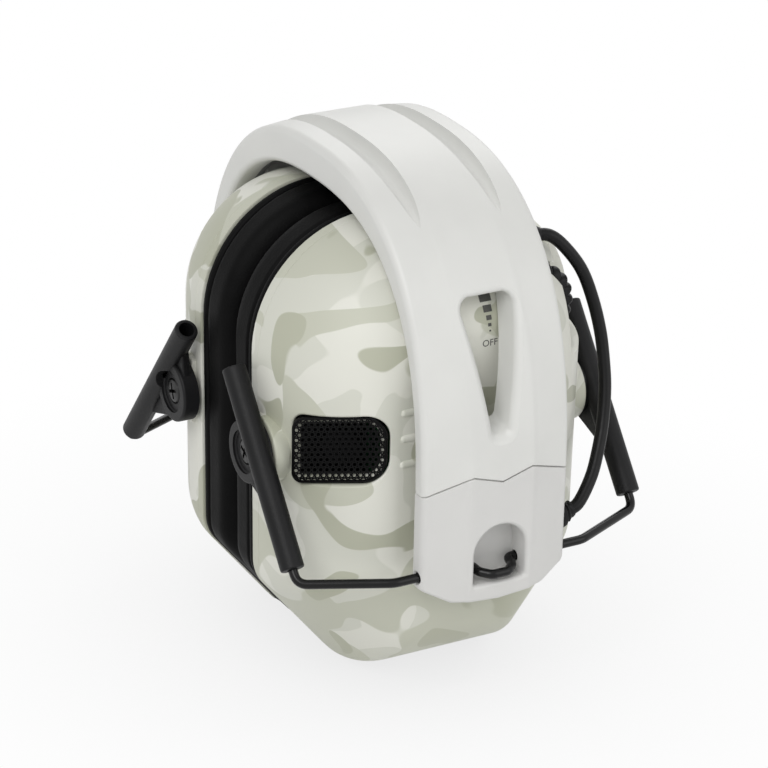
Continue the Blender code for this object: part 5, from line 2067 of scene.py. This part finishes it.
    def block(self) -> list[Pair]:
        """Return the band end's section, as equal rows of points on its outer and inner face.

        Returns:
            The (y, height) pairs.
        """
        rows, low, turn = self.rows(self.arch_x), -self.edge_leg, self.edge_round * 0.8
        inner = []
        for y in reversed(rows):
            over = max(0.0, abs(y) - self.half_width + turn)
            inner.append((y, low + turn - math.sqrt(max(0.0, turn ** 2 - over ** 2))))
        return [(y, self.height(y, 0.0, self.arch_x)) for y in rows] + inner

    def window(self, tree: BVHTree, side: int) -> bpy.types.Object:
        """Return the cutter of the window, which slopes out to a lip at its foot.

        Args:
            tree: the band's surface, on the +X side.
            side: -1 mirrors it in X.

        Returns:
            The cutter.
        """
        top = self.fold_z + self.window_top - self.window_drop
        plane = side_plane(self.fold_x)

        def outline(grow: float, height: float) -> list[Pair]:
            """Return the window's outline at a height above the face.

            Args:
                grow: how far it grows.
                height: the height.

            Returns:
                The (y, z) points.
            """
            slope = self.window_lip * blend(height, -9.0, 0.0)
            low = self.fold_z + self.window_foot - slope - grow
            return rounded([
                (self.window_top_half + grow, top + grow, 3.0 + grow), (self.window_foot_half + grow, low, 1.9 + grow),
                (-self.window_foot_half - grow, low, 1.9 + grow),
                (-self.window_top_half - grow, top + grow, 3.0 + grow)], 10.0, 2.5)
        return flared_cutter("window", tree, plane, outline, self.window_round, 20.0, side)

    def half(self, name: str, side: int) -> None:
        """Build one half of the band, from the crown's middle to the seam, and let it bend along its length.

        Args:
            name: left or right.
            side: -1 mirrors it in X.
        """
        rings = [self.section(t, self.profile(t, self.point(t).x, self.channel)) for t in self.angles(76)]
        last = self.profile(0.0, self.arch_x, self.channel)
        seam = [self.seam(y) for y, _ in last]
        start = rings[-1]
        for share in (0.4, 0.75):
            rings.append([Vector((a.x + (self.arch_x + h - a.x) * share, y, a.z + (s + 0.6 - a.z) * share))
                          for a, (y, h), s in zip(start, last, seam)])
        for lift, amount in ((0.55, 0.0), (0.27, 0.08), (0.15, 0.28)):
            drawn = self.shrunk(last, amount)
            rings.append([Vector((self.arch_x + h, y, s + lift)) for (y, h), s in zip(drawn, seam)])
        piece = Form().loft(rings).made(f"band_half_{name}", side)
        carve(piece, [self.window(tree_of_loft(rings), side)])
        stood = [f"band_arm_{name}"] + (["band_crown"] if side > 0 else [])
        dress(piece, "band", None, stood, 40.0)
        self.bend(piece, name, side)

    def bend(self, piece: bpy.types.Object, name: str, side: int) -> None:
        """Blend a piece from the crown to an arm.

        Args:
            piece: the piece.
            name: left or right.
            side: 1 for left, -1 for right.
        """
        z = self.arch_base + self.arch_rise
        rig.blend(piece, "crown", f"arm_{name}", start=(0, 0, z * MM),
                 end=(side * self.bend_end * MM, 0, self.bend_foot * MM))

    def liner(self, name: str, side: int) -> None:
        """Build one half of the liner in the band's channel.

        Args:
            name: left or right.
            side: -1 mirrors it in X.
        """
        wide = self.channel_half - 0.35
        rings = []
        for t in self.angles(56):
            top = -self.depth(t) + self.channel - self.gap
            low = top - self.liner_depth
            profile = [(wide, top), (-wide, top), (-wide, low + 0.4), (-wide + 0.4, low), (0, low), (wide - 0.4, low),
                       (wide, low + 0.4)]
            rings.append(self.section(t, profile))
        piece = Form().loft(rings).made(f"liner_half_{name}", side)
        top, low = self.fold_z + self.window_top + 6.5, self.fold_z + self.window_foot - 6.5
        half = self.collar_half + self.gap
        outline = rounded([(half, top, 2.0), (half, low, 2.0), (-half, low, 2.0), (-half, top, 2.0)], 10.0, 20.0)
        cutter = Form().loft([[(x, y, z) for y, z in outline] for x in (30.0, 90.0)]).made("cut", side)
        carve(piece, [cutter])
        stood = [f"arm_liner_{name}"] + (["crown_liner"] if side > 0 else [])
        dress(piece, "liner", None, stood)
        self.bend(piece, name, side)

    def end(self, name: str, side: int) -> None:
        """Build the band end with its pocket and its wire bore.

        Args:
            name: left or right.
            side: -1 mirrors it in X.
        """
        profile = self.block()
        rings = []
        for lift, amount in ((-0.15, 0.28), (-0.27, 0.08), (-0.55, 0.0)):
            rings.append([(self.arch_x + h, y, self.seam(y) + lift) for y, h in self.shrunk(profile, amount)])
        rings += [[(self.arch_x + h, y, self.fold_z + z) for y, h in profile] for z in (16.0, 10.0, 4.0)]
        for lift, amount in ((1.0, 0.0), (0.45, 0.13), (0.12, 0.5), (0.0, 1.0)):
            rings.append([(self.arch_x + h, y, self.foot(y) + lift) for y, h in self.shrunk(profile, amount)])
        piece = Form().loft(rings, Ends.LADDER).made(f"band_end_{name}_block", side)
        tree = tree_of_loft(rings, Ends.LADDER)
        low, high = self.fold_z - self.recess_drop, self.fold_z + self.recess_rise
        half = self.recess_half
        back = self.fold_x - self.wire_radius - self.gap
        plane = side_plane(back)

        def outline(grow: float, _height: float) -> list[Pair]:
            """Return the pocket's arched outline.

            Args:
                grow: how far it grows.
                _height: unused, as it is the same at any height.

            Returns:
                The (y, z) points.
            """
            w = half + grow
            return rounded([(w, low - grow, 1.0), (-w, low - grow, 1.0), (-w, high + grow, w - 0.05),
                            (w, high + grow, w - 0.05)], 8.0, 3.0)
        pocket = flared_cutter("pocket", tree, plane, outline, 1.1, -0.01, side)
        r, wide = self.wire_radius + self.gap, self.half_width
        long = 2 * wide + 10
        profile = [(0, 0), (r + 0.5, 0), (r + 0.5, 4.9), (r, 5.4), (r, long - 5.4), (r + 0.5, long - 4.9),
                   (r + 0.5, long), (0, long)]
        bore = Form().lathe(profile, (self.fold_x, -wide - 5, self.fold_z), (0, 1, 0), 28).made("bore", side)
        carve(piece, [pocket, bore])
        dress(piece, "band_end", f"arm_{name}", [f"band_end_{name}"], 40.0)

    def dressed(self) -> None:
        """Build the whole band."""
        for name, side in SIDES:
            self.half(name, side)
            self.liner(name, side)
            self.end(name, side)


BAND = Band()


@dataclass
class FoldWire:
    """The bent wire that carries a cup."""

    elbow_y: float = 27.5
    crank_reach: float = 5.5
    crank_drop: float = 0.8
    crank_foot_y: float = 5.2
    crank_side_y: float = 4.9
    crank_side: float = 0.58
    crank_tip_y: float = 2.3
    leg: float = 44.0
    foot_rise: float = 3.0
    bends: tuple[float, ...] = (3.6, 7.0, 1.6, 2.6, 2.6)

    def dressed(self, name: str, side: int) -> None:
        """Build the wire of one side.

        Args:
            name: left or right.
            side: -1 mirrors it in X.
        """
        x, z = BAND.fold_x, BAND.fold_z
        half = [PIVOT.foot + PIVOT.way * self.leg, PIVOT.foot - PIVOT.way * (self.foot_rise / PIVOT.way.z),
                Vector((x, self.elbow_y, z)), Vector((x, self.crank_foot_y, z)),
                Vector((x + self.crank_reach * self.crank_side, self.crank_side_y,
                        z - self.crank_drop * self.crank_side)),
                Vector((x + self.crank_reach, self.crank_tip_y, z - self.crank_drop))]
        path = half + [Vector((p.x, -p.y, p.z)) for p in reversed(half)]
        bent = bent_path(path, list(self.bends) + list(reversed(self.bends)))
        piece = Form().tube(bent, BAND.wire_radius, 20).made(f"wire_{name}", side)
        dress(piece, "wire", f"stirrup_{name}", [f"fold_wire_{name}"])


@dataclass
class Lead:
    """The short lead from a band end to its cup, with the strain relief at its foot."""

    radius: float = 1.65
    relief_rise: float = 7.0
    relief_wide: float = 1.8
    relief_tall: float = 2.8
    relief_tip: float = 2.1
    relief_length: float = 4.2
    gap: float = 0.3
    hold: float = 2.5
    end_length: float = 31.0
    route: tuple[Triple, ...] = (
        (55.0, 31.8, 55.7), (52.5, 35.1, 60.8), (49.5, 38.2, 67.1), (46.6, 40.4, 74.8), (44.2, 41.3, 81.2),
        (41.4, 41.5, 89.4), (38.9, 40.2, 98.0), (37.1, 37.5, 105.9), (35.5, 32.9, 112.4))

    def relief(self) -> tuple[list[list[Vector]], Vector]:
        """Return the rings and the tip of the strain relief.

        Returns:
            The rings and the tip.
        """
        start = Vector((BAND.fold_x - 0.9, BAND.half_width + self.gap, BAND.fold_z + self.relief_rise))
        tip = start + Vector((-0.16, 0.86, 0.48)) * self.relief_length
        rings = []
        shares = (0.0, 0.12, 0.3, 0.36, 0.44, 0.52, 0.6, 0.7, 0.8, 0.95, 1.0)
        swells = (0.0, 0.25, 0.35, 0.0, -0.1, 0.2, 0.0, -0.15, 0.05, 0.0, -0.25)
        for share, swell in zip(shares, swells):
            centre = start.lerp(tip, share)
            wide = self.relief_wide + (self.relief_tip - self.relief_wide) * share + swell
            tall = self.relief_tall + (self.relief_tip - self.relief_tall) * share + swell
            up = Vector((0, -0.35 * share, 1)).normalized()
            rings.append([centre + Vector((1, 0, 0)) * wide * math.cos(math.pi * k / 12)
                          + up * tall * math.sin(math.pi * k / 12) for k in range(24)])
        return rings, tip

    def path(self) -> list[Vector]:
        """Return the lead's route.

        Returns:
            The points, from the strain relief to the gland.
        """
        rings, tip = self.relief()
        last = rings[-1]
        leave = (last[6] - last[0]).cross(last[0] - last[12]).normalized()
        leave = leave if leave.y > 0 else -leave
        point, way = GLAND.axis()
        start, mouth = tip + leave * self.gap, point + way * (GLAND.outside + self.gap)
        line = [start + leave * self.radius, *(Vector(p) for p in self.route), mouth + way * self.radius]
        return smooth_path([start - leave * self.hold, *line, mouth - way * self.hold], 8)

    def dressed(self, name: str, side: int) -> None:
        """Build one lead in three lengths, each bending across one joint.

        Args:
            name: left or right.
            side: -1 mirrors it in X.
        """
        rings, _ = self.relief()
        boot = Form().loft(rings).made(f"strain_relief_{name}_boot", side)
        dress(boot, "black_plastic", f"arm_{name}", [f"strain_relief_{name}"])
        path = self.path()
        runs = run_lengths(path)
        first = next(i for i, run in enumerate(runs) if run >= self.end_length)
        second = max(i for i, run in enumerate(runs) if run <= runs[-1] - self.end_length)
        parts = (("low", path[:first + 1], f"arm_{name}", f"stirrup_{name}"),
                 ("middle", path[first:second + 1], f"stirrup_{name}", f"sliders_{name}"),
                 ("high", path[second:], f"sliders_{name}", f"cup_{name}"))
        pieces, lines = {}, {}
        for label, line, near, far in parts:
            piece = Form().tube(line, self.radius, 20).made(f"lead_{name}_{label}", side)
            dress(piece, "lead", None, [f"lead_{name}"] if label == "high" else [])
            lines[label] = [Vector((p.x * side, p.y, p.z)) * MM for p in line]
            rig.blend(piece, near, far, start=lines[label][0], end=lines[label][-1])
            pieces[label] = piece
        for label, others in (("low", [pieces["middle"]]), ("high", [])):
            line = lines[label]
            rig.cord(pieces[label], exit=line[0], length=run_lengths(line)[-1], diameter=2 * self.radius * MM,
                    far_end="object", stiffness="medium", lay="loose", path=line, with_pieces=others)


# What stays as the frame has it


def dress_frame() -> None:
    """Give each frame node that still shows its finish."""
    inner = {
        "base_plate": "black_plastic", "speaker": "metal", "speaker_plate": "black_plastic",
        "microphone": "gloss_black",
    }
    finishes = {f"{node}_{name}": finish for node, finish in inner.items() for name, _ in SIDES}
    finishes |= {
        "circuit_board": "board", "amplifier_chip": "black_plastic", "volume_control": "metal",
        "battery_tray": "black_plastic", "battery_cell_front": "cell", "battery_cell_rear": "cell",
        "battery_contact_low": "metal", "battery_contact_high": "metal",
    }
    for node, finish in finishes.items():
        data = frame["nodes"][node].data
        data.materials.clear()
        data.materials.append(FINISHES[finish])


# Studio


@dataclass
class Studio:
    """Camera, soft lights, pale floor and white surround."""

    bearing: float = 29.26
    elevation: float = 23.0
    roll: float = 1.22
    distance: float = 900.0
    lens: float = 161.66
    aim: Triple = (0.0, 0.0, 81.0)
    aim_right: float = 1.15
    aim_up: float = -13.4
    shadow_reach: float = 120.0
    shadow_depth: float = 0.22
    floor_size: float = 6.0
    floor_white: float = 0.92
    soft_light: float = 0.42
    lamp_aim: Triple = (0.0, 0.0, 0.07)
    lamps: tuple[tuple[str, Triple, float, float], ...] = (
        ("key", (0.75, -0.85, 1.1), 0.9, 11.0), ("fill", (1.1, 0.8, 0.6), 1.0, 4.0),
        ("back", (-0.9, 0.7, 0.9), 0.9, 5.0))

    def camera(self) -> None:
        """Place the camera at the photograph's view."""
        phi, el, rho = (math.radians(a) for a in (self.bearing, self.elevation, self.roll))
        back = Vector((math.cos(el) * math.cos(phi), -math.cos(el) * math.sin(phi), math.sin(el)))
        right = Vector((math.sin(phi), math.cos(phi), 0))
        up = back.cross(right)
        right, up = (right * math.cos(rho) + up * math.sin(rho), up * math.cos(rho) - right * math.sin(rho))
        place = (Vector(self.aim) + back * self.distance) * MM
        back = (place / MM - Vector(self.aim) - right * self.aim_right - up * self.aim_up).normalized()
        right = up.cross(back).normalized()
        up = back.cross(right)
        data = bpy.data.cameras.new("camera")
        data.sensor_width, data.lens = 36.0, self.lens
        data.clip_start, data.clip_end = 0.05, 50.0
        camera = linked("camera", data)
        stand = Matrix((right, up, back)).transposed().to_4x4()
        stand.translation = place
        camera.matrix_world = stand
        bpy.context.scene.camera = camera

    def lamp(self, name: str, place: Triple, size: float, power: float) -> None:
        """Add one area light aimed at the object.

        Args:
            name: its name.
            place: where it hangs, in metres.
            size: its side in metres.
            power: its power in watts.
        """
        data = bpy.data.lights.new(name, "AREA")
        data.shape, data.size, data.energy = "SQUARE", size, power
        lamp = linked(name, data)
        lamp.location = place
        lamp.rotation_euler = (Vector(self.lamp_aim) - Vector(place)).to_track_quat("-Z", "Y").to_euler()

    def surround(self) -> None:
        """Set a white surround that lights the object softly."""
        world = bpy.data.worlds.new("surround")
        world.use_nodes = True
        bpy.context.scene.world = world
        nodes = Nodes(world.node_tree)
        background = nodes.tree.nodes["Background"].inputs
        nodes.feed(background["Strength"], nodes.seen() * (1 - self.soft_light) + self.soft_light)
        nodes.feed(background["Color"], (1, 1, 1, 1))

    def floor(self) -> None:
        """Lay a pale floor that is clear to the camera, with a soft shade drawn from nearness.

        The cups hang below it when they are unfolded, so it must neither hide them nor keep the light off them.
        """
        form = Form()
        bmesh.ops.create_grid(form.bm, x_segments=1, y_segments=1, size=self.floor_size / MM / 2)
        floor = form.made("floor")
        if floor.data.polygons[0].normal.z < 0:
            floor.data.flip_normals()
        shader = Shader("floor_white")
        shader.set(Base_Color=(*(self.floor_white,) * 3, 1.0), Roughness=0.9)
        # Painted shadow: camera rays see the clear floor tinted darker by ambient occlusion near the object, in place
        # of the lamps' cast shadow.
        nearness = shader.node("ShaderNodeAmbientOcclusion", {"samples": 16}, {"Distance": self.shadow_reach * MM})
        shade = Value(shader, nearness.outputs["AO"]) * self.shadow_depth + (1 - self.shadow_depth)
        clear = shader.node("ShaderNodeBsdfTransparent", {}, {"Color": shade})
        below = Value(shader, shader.node("ShaderNodeNewGeometry", {}, {}).outputs["Backfacing"])
        share = shader.seen().most(shader.ray("Shadow") * below)
        both = shader.node("ShaderNodeMixShader", {},
                           {0: share, 1: shader.principled.outputs[0], 2: clear.outputs[0]})
        shader.feed(shader.tree.nodes["Material Output"].inputs["Surface"], both.outputs[0])
        floor.data.materials.append(shader.material)
        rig.stage(floor)

    def set_up(self) -> None:
        """Build the studio."""
        self.camera()
        self.surround()
        self.floor()
        for lamp in self.lamps:
            self.lamp(*lamp)
        bpy.context.scene.view_settings.view_transform = "Standard"


def main() -> None:
    """Build the earmuff's looks in order and report each piece."""
    logging.basicConfig(level=logging.INFO, format="%(name)s %(message)s")
    Studio().set_up()
    dress_frame()
    for name, side in SIDES:
        Lead().dressed(name, side)
        FoldWire().dressed(name, side)
        Cup(name, side).dressed()
    WHEEL.dressed()
    VolumeMarks().dressed()
    BAND.dressed()
    with open(SIZE_FILE, "w", encoding="utf-8") as out:
        json.dump({"cad": [list(c) for c in CAD_BOX], "visual": [list(c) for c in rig.bounds()]}, out)


if __name__ == "__main__":
    main()
